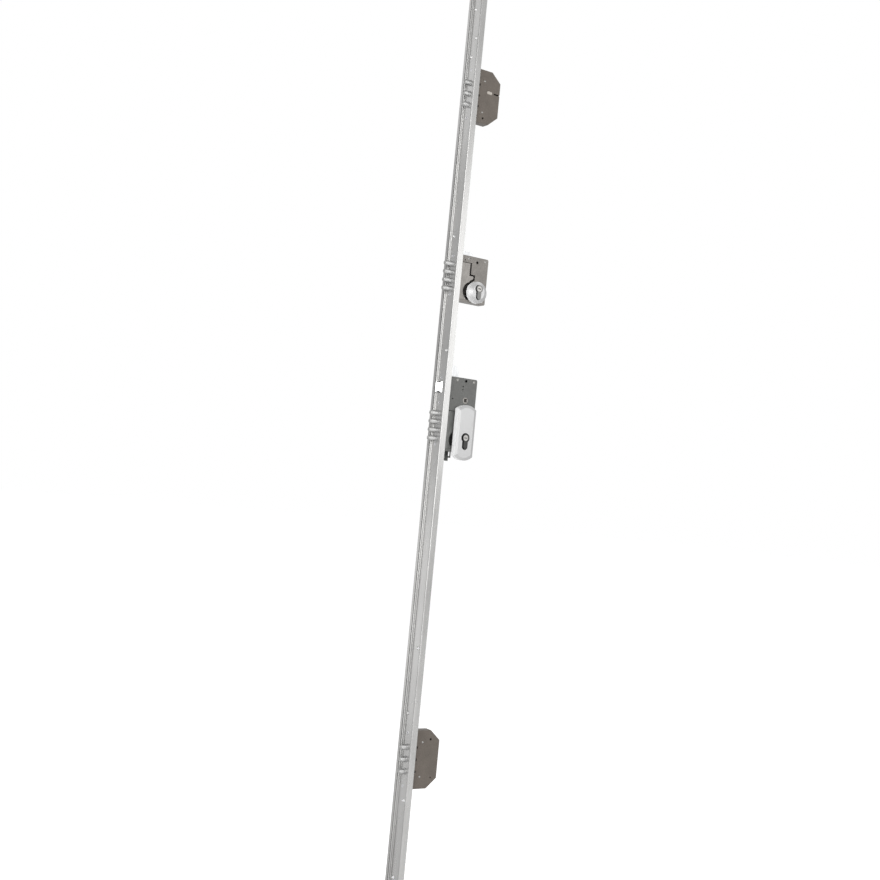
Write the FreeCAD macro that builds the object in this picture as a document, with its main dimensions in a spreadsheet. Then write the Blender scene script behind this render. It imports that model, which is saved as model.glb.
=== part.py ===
"""Multipoint mortise lock for a reinforced door, built as separate pieces.

The frame: X runs from the front face of the forend into the door, Y runs from
the keyed side to the far side, and Z is up. The origin is where the axis of the
main bolts' plane meets the front face, level with the main cylinder.
"""
import FreeCAD, Part
import math
import operator
import os

import Sketcher

Vector = FreeCAD.Vector

# Driving sizes, in millimetres unless the comment says otherwise.
SIZES = {
    # Folded forend profile
    "profile_length": 2100.0,
    "profile_top": 1065.0,  # top end above the main cylinder
    "profile_sheet": 2.0,
    "near_edge": 18.0,  # keyed side flange from the bolt plane
    "far_edge": 29.5,  # raised strip's edge from the bolt plane
    "flange_depth": 15.0,
    "step_offset": 14.0,  # where the raised strip starts
    "step_rise": 4.5,
    "step_lip": 2.0,
    "groove_width": 3.5,
    "bend_radius": 3.0,
    "fixing_hole": 5.5,
    "fixing_head": 8.5,
    "end_hole": 71.0,  # outermost fixing holes from the profile's ends
    "far_above_upper": 89.0,
    "far_above_second": 114.0,
    "far_above_lower": 98.5,
    "near_above_upper": 131.5,
    "near_below_second": 149.5,
    "near_above_lower": 241.0,
    "near_below_lower": 86.5,
    "near_column": 8.5,  # fixing holes on the keyed side of the bolt plane
    "far_column": 4.5,  # fixing holes on the other side of it
    # Lock cases
    "case_half": 10.0,  # half the thickness of every case
    "case_sheet": 2.0,
    "case_front": 2.5,  # front wall, which takes the fixing screws
    "case_bottom": 33.5,  # below the cylinder axis, on both main cases
    "case_depth": 91.5,
    "case_corner": 4.0,
    "cover_vent": 6.5,
    "cover_pip": 3.0,
    "vent_inset": 22.5,  # vent ahead of the rear posts
    "vent_drop": 5.5,  # second case's vent below its posts
    "pip_inset": 7.0,  # pips ahead of the vent
    "pip_drop": 19.5,
    "pip_pitch": 7.0,
    "stop_pip_inset": 9.5,
    "stop_pip_rise": 0.5,
    "second_pip_inset": 11.0,
    "second_pip_drop": 11.0,
    "main_case_top": 135.5,
    "second_case_top": 74.0,
    "second_height": 341.5,  # second cylinder above the main one
    "post_diameter": 7.0,
    "rivet_diameter": 3.6,
    "rivet_head": 7.0,
    "rivet_crown": 1.2,
    "rivet_length": 6.0,
    "post_lap": 0.5,  # how far a post runs into the back plate
    "post_inset": 8.0,  # rear posts from the back of a case
    "post_drop": 6.5,  # posts from the top or bottom of a case
    "front_post": 38.0,
    "screw_inset": 6.0,
    "main_screw_height": 73.0,
    "running_gap": 0.3,
    "moving_gap": 0.4,  # from a case's walls to what moves along them
    "close_gap": 0.05,
    # Outer deadlock cases
    "outer_depth": 79.0,
    "outer_half_height": 63.0,
    "outer_corner_x": 25.0,
    "outer_corner_z": 22.0,
    "upper_height": 790.5,
    "lower_height": 712.0,  # below the main cylinder
    "outer_pitch": 26.0,
    "outer_reach": 14.0,
    "outer_pin_offset": 13.0,
    "outer_post_x": 35.5,
    "outer_post_half": 37.2,
    "guide_length": 14.5,
    "guide_width": 7.0,
    "guide_x": 51.0,
    "fork_end": 62.0,
    "fork_prong": 3.5,
    "fork_root": 3.0,
    "notch_front": 19.5,
    "notch_width": 4.0,
    "notch_height": 5.0,
    "rear_notch_front": 63.0,
    "rear_notch_height": 3.2,
    "cover_hole": 5.0,
    "upper_hole_x": 38.0,
    "upper_hole_drop": 50.6,
    "lower_hole_x": 55.6,
    "lower_hole_rise": 43.0,
    "lower_pip_x": 63.5,
    "lower_pip_drop": 40.0,
    # Bolts and their carriages
    "bolt_diameter": 12.0,
    "bolt_chamfer": 2.0,
    "bolt_pitch": 19.0,
    "bolt_drop": 8.0,  # lowest bolt below the cylinder axis
    "bolt_count": 4.0,  # a count
    "outer_bolt_count": 3.0,  # a count
    "bolt_reach": 21.5,
    "throw_in": 21.0,  # travel back from the photographed pose
    "throw_out": 15.0,  # travel out from the photographed pose
    "outer_share": 0.6666667,  # outer bolt travel for each rod travel
    "spigot_diameter": 7.0,
    "collar_outside": 14.0,
    "collar_flange": 15.0,
    "collar_lip": 1.5,
    "bar_front": 20.0,
    "bar_depth": 6.0,
    "bar_inset": 2.5,  # bars from the inner faces of a case
    "bar_overrun": 0.5,  # bar below the lowest bolt
    "bar_top_inset": 1.5,  # bar below the top of the plate
    "lug_depth": 11.0,
    "lug_half": 4.5,
    "plate_sheet": 2.0,
    "plate_right": 44.0,
    "plate_top": 57.5,
    "plate_bottom": 31.0,
    "nose_reach": 55.4,
    "nose_top": 29.0,
    "nose_bottom": 23.0,
    "nose_slope_run": 3.0,
    "nose_slope_high": 5.0,
    "nose_slope_low": 9.0,
    "hollow_radius": 22.0,
    "hollow_edge": 1.0,
    "hollow_start": 3.0,
    "window_gap": 2.8,
    "window_front": 8.0,
    "window_back": 52.0,
    "window_sill": 3.5,
    "window_slope": 4.0,
    "window_head": 0.8,
    "pin_diameter": 6.0,
    "pin_back": 6.0,  # pin behind the front of the bar
    "upper_pin": 39.5,
    "lower_pin": 20.5,
    # Rods that drive the outer deadlocks
    "rod_sheet": 3.0,
    "rod_front": 4.0,
    "rod_width": 9.0,
    "rod_gap": 0.5,  # from the back of a case to the first layer
    "drive_right": 52.5,
    "drive_top": 163.0,
    "drive_shoulder": 148.0,
    "drive_neck": 43.0,
    "cam_margin": 7.0,  # main plates past their cam slots
    "outer_cam_margin": 8.0,
    "lower_drive_step": 0.5,  # lower plate's edge behind the upper one's
    "lug_bottom": 54.6,
    "tab_left": 44.0,
    "tab_bottom": 47.0,
    "tab_step": 2.5,
    "tab_slot": 5.0,
    "tab_slot_low": 3.0,
    "tab_slot_high": 9.0,
    "link_length": 34.0,
    "link_sheet": 2.0,
    "keeper_rise": 13.5,  # keeper above the second case
    "keeper_length": 34.0,
    "keeper_right": 59.0,
    "keeper_sheet": 2.0,
    "keeper_step": 1.0,  # from the rod to the fold
    "keeper_corner": 6.0,
    "clip_length": 12.0,
    "clip_sheet": 1.4,
    # Profile cylinders
    "backset": 63.0,
    "cylinder_half": 27.0,
    "cylinder_head": 17.0,
    "cylinder_stem": 10.0,
    "cylinder_height": 33.0,
    "plug_diameter": 13.0,
    "plug_inset": 0.4,
    "cam_width": 10.0,
    "cam_radius": 15.0,
    "cam_tooth": 8.0,
    "key_height": 1.8,
    "key_width": 8.0,
    "key_depth": 10.0,
    "cylinder_screw": 5.0,
    "cylinder_screw_drop": 21.0,
    "cylinder_screw_length": 66.0,
    "screw_head": 7.6,
    "screw_past": 5.0,  # case screws past the front wall
    "recess_diameter": 3.6,
    "recess_depth": 0.9,
    # Escutcheon and rosette
    "escutcheon_width": 49.3,
    "escutcheon_top": 74.2,
    "escutcheon_bottom": 51.0,
    "escutcheon_rise": 9.5,
    "escutcheon_height": 15.0,
    "escutcheon_bevel": 3.5,
    "escutcheon_front": 6.0,
    "escutcheon_wall": 4.0,
    "escutcheon_screw_top": 60.0,
    "escutcheon_solid": 6.0,  # solid part ahead of its screws
    "rosette_diameter": 50.0,
    "rosette_side": 9.0,
    "rosette_height": 14.0,
    "rosette_face": 32.0,
    "cylinder_clearance": 1.0,
    "trim_screw": 5.0,
    "trim_screw_head": 8.5,
    "trim_screw_head_height": 3.0,
    "trim_screw_depth": 6.0,
    "trim_tip_gap": 1.0,
    "trim_slot_depth": 1.2,
    "trim_slot_width": 1.2,
    "trim_screw_x": 81.0,
    "trim_screw_half": 9.5,
    # Latch and handle follower
    "latch_height": 108.5,
    "latch_thickness": 14.0,
    "latch_tall": 24.4,
    "latch_reach": 10.2,
    "latch_nose": 2.0,
    "latch_root": 0.5,  # where the bevel meets the straight part
    "latch_inside": 20.0,
    "latch_groove": 1.8,
    "latch_gap": 0.4,
    "tail_end": 73.0,
    "tail_half": 3.0,
    "tail_lug": 4.8,
    "tail_lug_bottom": 98.0,
    "spindle_height": 85.0,
    "spindle_square": 8.0,
    "hub_diameter": 22.0,
    "hub_boss": 14.0,
    "arm_length": 20.0,
    "arm_half": 3.0,
    "arm_gap": 1.2,
    "arm_tip_gap": 0.5,
    "spring_diameter": 8.0,
    "spring_wire": 1.0,
    "spring_turns": 5.0,  # a count
}

PAST = 1.0  # how far a cutter runs past the faces that it opens

OPERATIONS = {"+": operator.add, "-": operator.sub, "*": operator.mul, "/": operator.truediv}


class Size:
    """A length with its value and the sheet expression that it comes from."""

    def __init__(self, text, value):
        self.text = text
        self.value = value

    def __add__(self, other):
        return joined(self, "+", other)

    def __radd__(self, other):
        return joined(other, "+", self)

    def __sub__(self, other):
        return joined(self, "-", other)

    def __rsub__(self, other):
        return joined(other, "-", self)

    def __mul__(self, other):
        return joined(self, "*", other)

    def __rmul__(self, other):
        return joined(other, "*", self)

    def __truediv__(self, other):
        return joined(self, "/", other)

    def __neg__(self):
        return joined(0, "-", self)

    def root(self):
        """Square root of the size."""
        return Size(f"sqrt({self.text})", math.sqrt(self.value))


def as_size(number):
    """Wrap a plain number, and pass a Size through."""
    if isinstance(number, Size):
        return number
    return Size(repr(float(number)), float(number))


def joined(left, sign, right):
    """Combine two sizes, in value and in expression."""
    left, right = as_size(left), as_size(right)
    value = OPERATIONS[sign](left.value, right.value)
    return Size(f"({left.text} {sign} {right.text})", value)


doc = FreeCAD.newDocument("MultipointLock")
sheet = doc.addObject("Spreadsheet::Sheet", "Sizes")
for row, (alias, number) in enumerate(SIZES.items(), start=1):
    sheet.set(f"A{row}", alias)
    sheet.set(f"B{row}", str(number))
    sheet.setAlias(f"B{row}", alias)
doc.recompute()


class Dimensions:
    """The sheet's cells, each read by its alias as a Size."""

    def __getattr__(self, alias):
        return Size(f"Sizes.{alias}", float(getattr(sheet, alias)))


S = Dimensions()
nodes = []


def bind(item, path, size):
    """Tie a property of a document object to a size."""
    item.setExpression(path, as_size(size).text)


def new_body(name, z=None):
    """Start a sub-part, lifted to its own height on the lock."""
    body = doc.addObject("PartDesign::Body", name)
    body.Label = name
    if z is not None:
        bind(body, "Placement.Base.z", z)
    nodes.append(body)
    return body


def origin_feature(body, role):
    """One of the origin planes or axes of a body."""
    return next(item for item in body.Origin.OriginFeatures if item.Role == role)


# Which way each origin plane's normal points along its own axis.
NORMALS = {"XY_Plane": 1, "YZ_Plane": 1, "XZ_Plane": -1}


def new_sketch(body, plane, place):
    """Start a sketch on an origin plane, moved to a place along the plane's axis."""
    sketch = body.newObject("Sketcher::SketchObject", f"{body.Name}_sketch")
    sketch.AttachmentSupport = [(origin_feature(body, plane), "")]
    sketch.MapMode = "FlatFace"
    bind(sketch, "AttachmentOffset.Base.z", as_size(place) * NORMALS[plane])
    return sketch


def dimension(sketch, kind, size, *where):
    """Add a dimension to a sketch, tied to a size."""
    size = as_size(size)
    index = sketch.addConstraint(Sketcher.Constraint(kind, *where, size.value))
    sketch.setExpression(f"Constraints[{index}]", size.text)


def place_point(sketch, geometry, vertex, across, up):
    """Place a sketch point from the sketch's origin."""
    dimension(sketch, "DistanceX", across, -1, 1, geometry, vertex)
    dimension(sketch, "DistanceY", up, -1, 1, geometry, vertex)


def draw_outline(corners):
    """Drawing of a closed outline.

    A corner is (across, up), or (across, up, radius, turn) where the edge that
    leaves it is an arc, with turn 1 for a centre on its left and -1 on its right.
    """

    def draw(sketch):
        ends = []
        for corner, after in zip(corners, corners[1:] + corners[:1]):
            start = Vector(as_size(corner[0]).value, as_size(corner[1]).value, 0)
            end = Vector(as_size(after[0]).value, as_size(after[1]).value, 0)
            if len(corner) == 2:
                edge = sketch.addGeometry(Part.LineSegment(start, end))
                ends.append((edge, 1, 2))
                continue
            radius, turn = as_size(corner[2]), corner[3]
            chord = end - start
            reach = math.sqrt(radius.value ** 2 - (chord.Length / 2) ** 2)
            left = Vector(-chord.y, chord.x, 0).normalize()
            centre = (start + end) / 2 + left * reach * turn
            first, last = (start, end) if turn > 0 else (end, start)
            angles = [math.atan2(point.y - centre.y, point.x - centre.x) for point in (first, last)]
            circle = Part.Circle(centre, Vector(0, 0, 1), radius.value)
            edge = sketch.addGeometry(Part.ArcOfCircle(circle, *angles))
            ends.append((edge, 1, 2) if turn > 0 else (edge, 2, 1))
            dimension(sketch, "Radius", radius, edge)
        for current, following in zip(ends, ends[1:] + ends[:1]):
            sketch.addConstraint(
                Sketcher.Constraint("Coincident", current[0], current[2], following[0], following[1]))
        for corner, (edge, first, _) in zip(corners, ends):
            place_point(sketch, edge, first, corner[0], corner[1])

    return draw


def draw_rectangle(left, right, bottom, top):
    """Drawing of an upright rectangle."""
    return draw_outline([(left, bottom), (right, bottom), (right, top), (left, top)])


def draw_circles(circles):
    """Drawing of circles, each given as (across, up, diameter)."""

    def draw(sketch):
        for across, up, diameter in circles:
            centre = Vector(as_size(across).value, as_size(up).value, 0)
            radius = as_size(diameter).value / 2
            edge = sketch.addGeometry(Part.Circle(centre, Vector(0, 0, 1), radius))
            place_point(sketch, edge, 3, across, up)
            dimension(sketch, "Diameter", diameter, edge)

    return draw


def draw_slot(first, last, width):
    """Drawing of a round-ended slot between two centres."""

    def draw(sketch):
        a = Vector(as_size(first[0]).value, as_size(first[1]).value, 0)
        b = Vector(as_size(last[0]).value, as_size(last[1]).value, 0)
        radius = as_size(width).value / 2
        along = math.atan2(b.y - a.y, b.x - a.x)
        side = Vector(-math.sin(along), math.cos(along), 0) * radius
        up = Vector(0, 0, 1)
        quarter = math.pi / 2
        low = sketch.addGeometry(Part.LineSegment(a - side, b - side))
        cap = Part.ArcOfCircle(Part.Circle(b, up, radius), along - quarter, along + quarter)
        end = sketch.addGeometry(cap)
        high = sketch.addGeometry(Part.LineSegment(b + side, a + side))
        cap = Part.ArcOfCircle(Part.Circle(a, up, radius), along + quarter, along + 3 * quarter)
        start = sketch.addGeometry(cap)
        for one, other in ((low, end), (end, high), (high, start), (start, low)):
            sketch.addConstraint(Sketcher.Constraint("Tangent", one, 2, other, 1))
        sketch.addConstraint(Sketcher.Constraint("Equal", start, end))
        place_point(sketch, start, 3, *first)
        place_point(sketch, end, 3, *last)
        dimension(sketch, "Radius", as_size(width) / 2, start)

    return draw


def draw_cylinder_profile(across, up, clearance):
    """Drawing of the keyhole-shaped outline of a profile cylinder, with a clearance."""
    head = S.cylinder_head / 2 + clearance
    stem = S.cylinder_stem / 2 + clearance
    shoulder = (head * head - stem * stem).root()
    foot = S.cylinder_height - S.cylinder_head / 2 - S.cylinder_stem / 2

    def draw(sketch):
        x, z = as_size(across).value, as_size(up).value
        half, base = stem.value, z - foot.value
        turn = math.atan2(-shoulder.value, half)
        axis = Vector(0, 0, 1)
        right = sketch.addGeometry(
            Part.LineSegment(Vector(x + half, base, 0), Vector(x + half, z - shoulder.value, 0)))
        round_head = Part.Circle(Vector(x, z, 0), axis, head.value)
        top = sketch.addGeometry(Part.ArcOfCircle(round_head, turn, math.pi - turn))
        left = sketch.addGeometry(
            Part.LineSegment(Vector(x - half, z - shoulder.value, 0), Vector(x - half, base, 0)))
        round_foot = Part.Circle(Vector(x, base, 0), axis, half)
        under = sketch.addGeometry(Part.ArcOfCircle(round_foot, math.pi, 2 * math.pi))
        for one, other in ((right, top), (top, left)):
            sketch.addConstraint(Sketcher.Constraint("Coincident", one, 2, other, 1))
        for one, other in ((left, under), (under, right)):
            sketch.addConstraint(Sketcher.Constraint("Tangent", one, 2, other, 1))
        sketch.addConstraint(Sketcher.Constraint("Vertical", right))
        place_point(sketch, top, 3, across, up)
        dimension(sketch, "Radius", head, top)
        place_point(sketch, under, 3, across, as_size(up) - foot)
        dimension(sketch, "Radius", stem, under)

    return draw


def pad(body, plane, low, high, draw):
    """Add material between two places along a plane's axis."""
    low, high = as_size(low), as_size(high)
    sketch = new_sketch(body, plane, low if NORMALS[plane] > 0 else high)
    draw(sketch)
    feature = body.newObject("PartDesign::Pad", f"{body.Name}_pad")
    feature.Profile = sketch
    bind(feature, "Length", high - low)
    body.Tip = feature
    return feature


def cut(body, plane, low, high, draw):
    """Remove material between two places along a plane's axis."""
    low, high = as_size(low), as_size(high)
    sketch = new_sketch(body, plane, high if NORMALS[plane] > 0 else low)
    draw(sketch)
    doc.recompute()
    before = body.Shape.Volume
    feature = body.newObject("PartDesign::Pocket", f"{body.Name}_pocket")
    feature.Profile = sketch
    bind(feature, "Length", high - low)
    body.Tip = feature
    doc.recompute()
    if before - body.Shape.Volume < 0.01:
        raise ValueError(f"a pocket of {body.Label} removes nothing")
    return feature


def round_edges(body, radius, chosen, kind="PartDesign::Fillet", size="Radius"):
    """Fillet or chamfer the edges of a body that a test chooses."""
    doc.recompute()
    names = [f"Edge{i}" for i, edge in enumerate(body.Tip.Shape.Edges, start=1) if chosen(edge)]
    if not names:
        raise ValueError(f"no edge of {body.Label} to round")
    base = body.Tip
    feature = body.newObject(kind, f"{body.Name}_edge")
    feature.Base = (base, names)
    bind(feature, size, radius)
    body.Tip = feature
    return feature


def upright_edges(*places):
    """Test for straight edges along Z that stand at one of the given (x, y) places."""

    def chosen(edge):
        low, high = edge.BoundBox, edge.BoundBox
        if high.ZLength < 1 or low.XLength > 0.01 or low.YLength > 0.01:
            return False
        return any(abs(low.XMin - as_size(x).value) < 0.01 and abs(low.YMin - as_size(y).value) < 0.01
                   for x, y in places)

    return chosen


def cross_edges(*places):
    """Test for straight edges along Y that stand at one of the given (x, z) places."""

    def chosen(edge):
        box = edge.BoundBox
        if box.YLength < 1 or box.XLength > 0.01 or box.ZLength > 0.01:
            return False
        return any(abs(box.XMin - as_size(x).value) < 0.01 and abs(box.ZMin - as_size(z).value) < 0.01
                   for x, z in places)

    return chosen


def new_group(name, solids):
    """A sub-part made of separate equal solids."""
    item = doc.addObject("Part::Feature", name)
    item.Label = name
    item.Shape = Part.makeCompound(solids)
    nodes.append(item)
    return item


# Heights of what repeats.
def heights(lowest, pitch, count):
    """Evenly spaced heights from the lowest one up."""
    return [lowest + pitch * i for i in range(round(as_size(count).value))]


main_bolts = heights(-S.bolt_drop, S.bolt_pitch, S.bolt_count)
outer_bolts = heights(-S.outer_pitch * (S.outer_bolt_count - 1) / 2, S.outer_pitch, S.outer_bolt_count)
all_bolts = (
    main_bolts
    + [S.second_height + z for z in main_bolts]
    + [S.upper_height + z for z in outer_bolts]
    + [z - S.lower_height for z in outer_bolts]
)

# Fixing holes of the forend, in two columns.
far_holes = [
    S.profile_top - S.end_hole,
    S.upper_height + S.far_above_upper,
    S.second_height + S.far_above_second,
    S.far_above_lower - S.lower_height,
    S.profile_top - S.profile_length + S.end_hole,
]
near_holes = [
    S.upper_height + S.near_above_upper,
    S.second_height - S.near_below_second,
    S.near_above_lower - S.lower_height,
    -S.lower_height - S.near_below_lower,
]


def forend_profile():
    """Folded steel profile: keyed side flange, main face, raised strip with a groove."""
    body = new_body("forend_profile")
    inner_near = S.profile_sheet - S.near_edge
    inner_far = S.far_edge - S.profile_sheet
    strip = -S.step_rise
    groove_near = S.step_offset + S.step_lip
    groove_far = groove_near + S.groove_width
    back = S.profile_sheet
    section = [
        (S.flange_depth, -S.near_edge),
        (0, -S.near_edge),
        (0, S.step_offset),
        (strip, S.step_offset),
        (strip, groove_near),
        (0, groove_near),
        (0, groove_far),
        (strip, groove_far),
        (strip, S.far_edge),
        (S.flange_depth, S.far_edge),
        (S.flange_depth, inner_far),
        (strip + S.profile_sheet, inner_far),
        (strip + S.profile_sheet, groove_far + S.step_lip),
        (back, groove_far + S.step_lip),
        (back, inner_near),
        (S.flange_depth, inner_near),
    ]
    pad(body, "XY_Plane", S.profile_top - S.profile_length, S.profile_top, draw_outline(section))
    round_edges(body, S.bend_radius, upright_edges((0, -S.near_edge), (strip, S.far_edge)))
    round_edges(body, S.bend_radius - S.profile_sheet,
                upright_edges((back, inner_near), (strip + S.profile_sheet, inner_far),
                              (0, S.step_offset), (strip, S.step_offset)))
    front, behind = strip - PAST, back + PAST / 2
    cut(body, "YZ_Plane", front, behind, draw_circles([(0, z, S.collar_outside) for z in all_bolts]))
    half_thick = S.latch_thickness / 2 + S.latch_gap
    half_tall = S.latch_tall / 2 + S.latch_gap
    cut(body, "YZ_Plane", front, behind,
        draw_rectangle(-half_thick, half_thick, S.latch_height - half_tall, S.latch_height + half_tall))
    cylinder_screws = [-S.cylinder_screw_drop, S.second_height - S.cylinder_screw_drop]
    countersunk = [(0, z, S.fixing_hole) for z in case_screw_heights() + cylinder_screws]
    countersunk += [(S.far_column, z, S.fixing_hole) for z in far_holes]
    countersunk += [(-S.near_column, z, S.fixing_hole) for z in near_holes]
    sketch = new_sketch(body, "YZ_Plane", 0)
    draw_circles(countersunk)(sketch)
    doc.recompute()
    before = body.Shape.Volume
    hole = body.newObject("PartDesign::Hole", "forend_countersinks")
    hole.Profile = sketch
    doc.recompute()
    hole.Reversed = True
    hole.Threaded = False
    hole.DepthType = "Dimension"
    hole.DrillPoint = "Flat"
    bind(hole, "Depth", S.profile_sheet + PAST)
    bind(hole, "Diameter", S.fixing_hole)
    hole.HoleCutType = "Countersink"
    hole.HoleCutCustomValues = True
    bind(hole, "HoleCutDiameter", S.fixing_head)
    hole.HoleCutCountersinkAngle = 90
    body.Tip = hole
    doc.recompute()
    if before - body.Shape.Volume < 1:
        raise ValueError("the countersunk holes remove nothing")


def case_outline(depth, bottom, top, corner_x, corner_z):
    """Outline of a case, square or with its two rear corners cut off."""
    front = S.profile_sheet
    if corner_x is None:
        return [(front, bottom), (depth, bottom), (depth, top), (front, top)]
    return [(front, bottom), (depth - corner_x, bottom), (depth, bottom + corner_z),
            (depth, top - corner_z), (depth - corner_x, top), (front, top)]


# Share of the wall by which a sloping inner wall starts earlier, so that it stays as thick.
SLOPE_SHARE = 0.45


class Case:
    """One lock case: where it sits, its outline, its posts and what passes its walls."""

    def __init__(self, name, height, depth, bottom, top, bolts, posts, flush_posts, screws,
                 corner=(None, None)):
        self.name = name
        self.height = height
        self.depth = depth
        self.bottom = bottom
        self.top = top
        self.bolts = bolts
        self.domed_posts = posts
        self.posts = posts + flush_posts
        self.screws = screws
        self.corner = corner

    def rear_corners(self):
        """The square case's two rear corners, as (x, z)."""
        return [(self.depth, self.top), (self.depth, self.bottom)]

    def inner_outline(self):
        """Outline of the hollow inside the tray."""
        wall = S.case_sheet
        front = S.profile_sheet + S.case_front
        bottom, top, depth = self.bottom + wall, self.top - wall, self.depth - wall
        if self.corner[0] is None:
            return [(front, bottom), (depth, bottom), (depth, top), (front, top)]
        run, rise = self.corner
        inset = wall * SLOPE_SHARE
        return [(front, bottom), (depth - run + wall - inset, bottom), (depth, bottom - wall + rise + inset),
                (depth, top + wall - rise - inset), (depth - run + wall - inset, top), (front, top)]

    def tray(self, back_cuts, front_cuts):
        """Back plate and four walls of the case, with posts that carry the cover."""
        body = new_body(f"{self.name}_case_tray", self.height)
        near, far = S.case_sheet - S.case_half, S.case_half
        outline = case_outline(self.depth, self.bottom, self.top, *self.corner)
        pad(body, "XZ_Plane", near, far, draw_outline(outline))
        if self.corner[0] is None:
            round_edges(body, S.case_corner, cross_edges(*self.rear_corners()))
        cut(body, "XZ_Plane", near - PAST, far - S.case_sheet, draw_outline(self.inner_outline()))
        posts = [(x, z, S.post_diameter) for x, z in self.posts]
        pad(body, "XZ_Plane", near, far - S.case_sheet + S.post_lap, draw_circles(posts))
        bores = [(x, z, S.rivet_diameter + 2 * S.close_gap) for x, z in self.posts]
        cut(body, "XZ_Plane", near, near + S.rivet_length - S.case_sheet, draw_circles(bores))
        for draw in back_cuts:
            cut(body, "XZ_Plane", far - S.case_sheet - PAST, far + PAST, draw)
        front, behind = S.profile_sheet - PAST, S.profile_sheet + S.case_front + PAST / 5
        bolt_holes = [(0, z, S.collar_outside) for z in self.bolts]
        screws = [(0, z, S.fixing_hole) for z in self.screws]
        for draw in [draw_circles(bolt_holes), draw_circles(screws)] + front_cuts:
            cut(body, "YZ_Plane", front, behind, draw)
        return body

    def cover(self, cuts):
        """Plate that closes the case on the keyed side."""
        body = new_body(f"{self.name}_case_cover", self.height)
        near, far = -S.case_half, S.case_sheet - S.case_half
        outline = case_outline(self.depth, self.bottom, self.top, *self.corner)
        pad(body, "XZ_Plane", near, far, draw_outline(outline))
        if self.corner[0] is None:
            round_edges(body, S.case_corner, cross_edges(*self.rear_corners()))
        rivets = [(x, z, S.rivet_diameter + 2 * S.close_gap) for x, z in self.posts]
        for draw in [draw_circles(rivets)] + cuts:
            cut(body, "XZ_Plane", near - PAST, far + PAST, draw)
        return body


outer_posts = [(S.outer_post_x, S.outer_post_half), (S.outer_post_x, -S.outer_post_half)]
rear_post = S.case_depth - S.post_inset
low_post = S.post_drop - S.case_bottom
outer_screws = [S.outer_half_height - S.screw_inset, S.screw_inset - S.outer_half_height]
outer_corner = (S.outer_corner_x, S.outer_corner_z)
main_high = S.main_case_top - S.post_drop
second_high = S.second_case_top - S.post_drop
main_case = Case("main", as_size(0), S.case_depth, -S.case_bottom, S.main_case_top, main_bolts,
                 [(rear_post, main_high), (S.front_post, main_high)], [(rear_post, low_post)],
                 [S.main_case_top - S.screw_inset, S.main_screw_height])
second_case = Case("second", S.second_height, S.case_depth, -S.case_bottom, S.second_case_top,
                   main_bolts, [(rear_post, second_high), (S.front_post, second_high)],
                   [(rear_post, low_post)], [S.second_case_top - S.screw_inset])
upper_case = Case("upper", S.upper_height, S.outer_depth, -S.outer_half_height, S.outer_half_height,
                  outer_bolts, outer_posts, [], outer_screws, outer_corner)
lower_case = Case("lower", -S.lower_height, S.outer_depth, -S.outer_half_height, S.outer_half_height,
                  outer_bolts, outer_posts, [], outer_screws, outer_corner)
cases = (main_case, second_case, upper_case, lower_case)


def case_screw_heights():
    """Heights of all the screws that hold the cases to the forend."""
    return [case.height + z for case in cases for z in case.screws]


# The pins of the carriages, behind the front of the bar.
pin_x = S.bar_front + S.pin_back
pin_slot = S.pin_diameter + 2 * S.running_gap


def window_outline():
    """Window of a main cover, which follows the carriage plate with an even gap."""
    gap = S.window_gap
    front, back = S.window_front, S.window_back
    sill, head = S.window_sill - S.plate_bottom, S.plate_top + S.window_head
    right, nose = S.plate_right + gap, S.nose_reach + gap
    low, high = S.nose_bottom - gap, S.nose_top + gap
    return [(front, sill), (back, sill), (back, low - S.window_slope), (nose, low), (nose, high),
            (right, high), (right, head), (front, head)]


def through_pin_slot(z, retract, extend):
    """Level slot for a carriage pin over its travel."""
    return draw_slot((pin_x - extend, z), (pin_x + retract, z), pin_slot)


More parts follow.
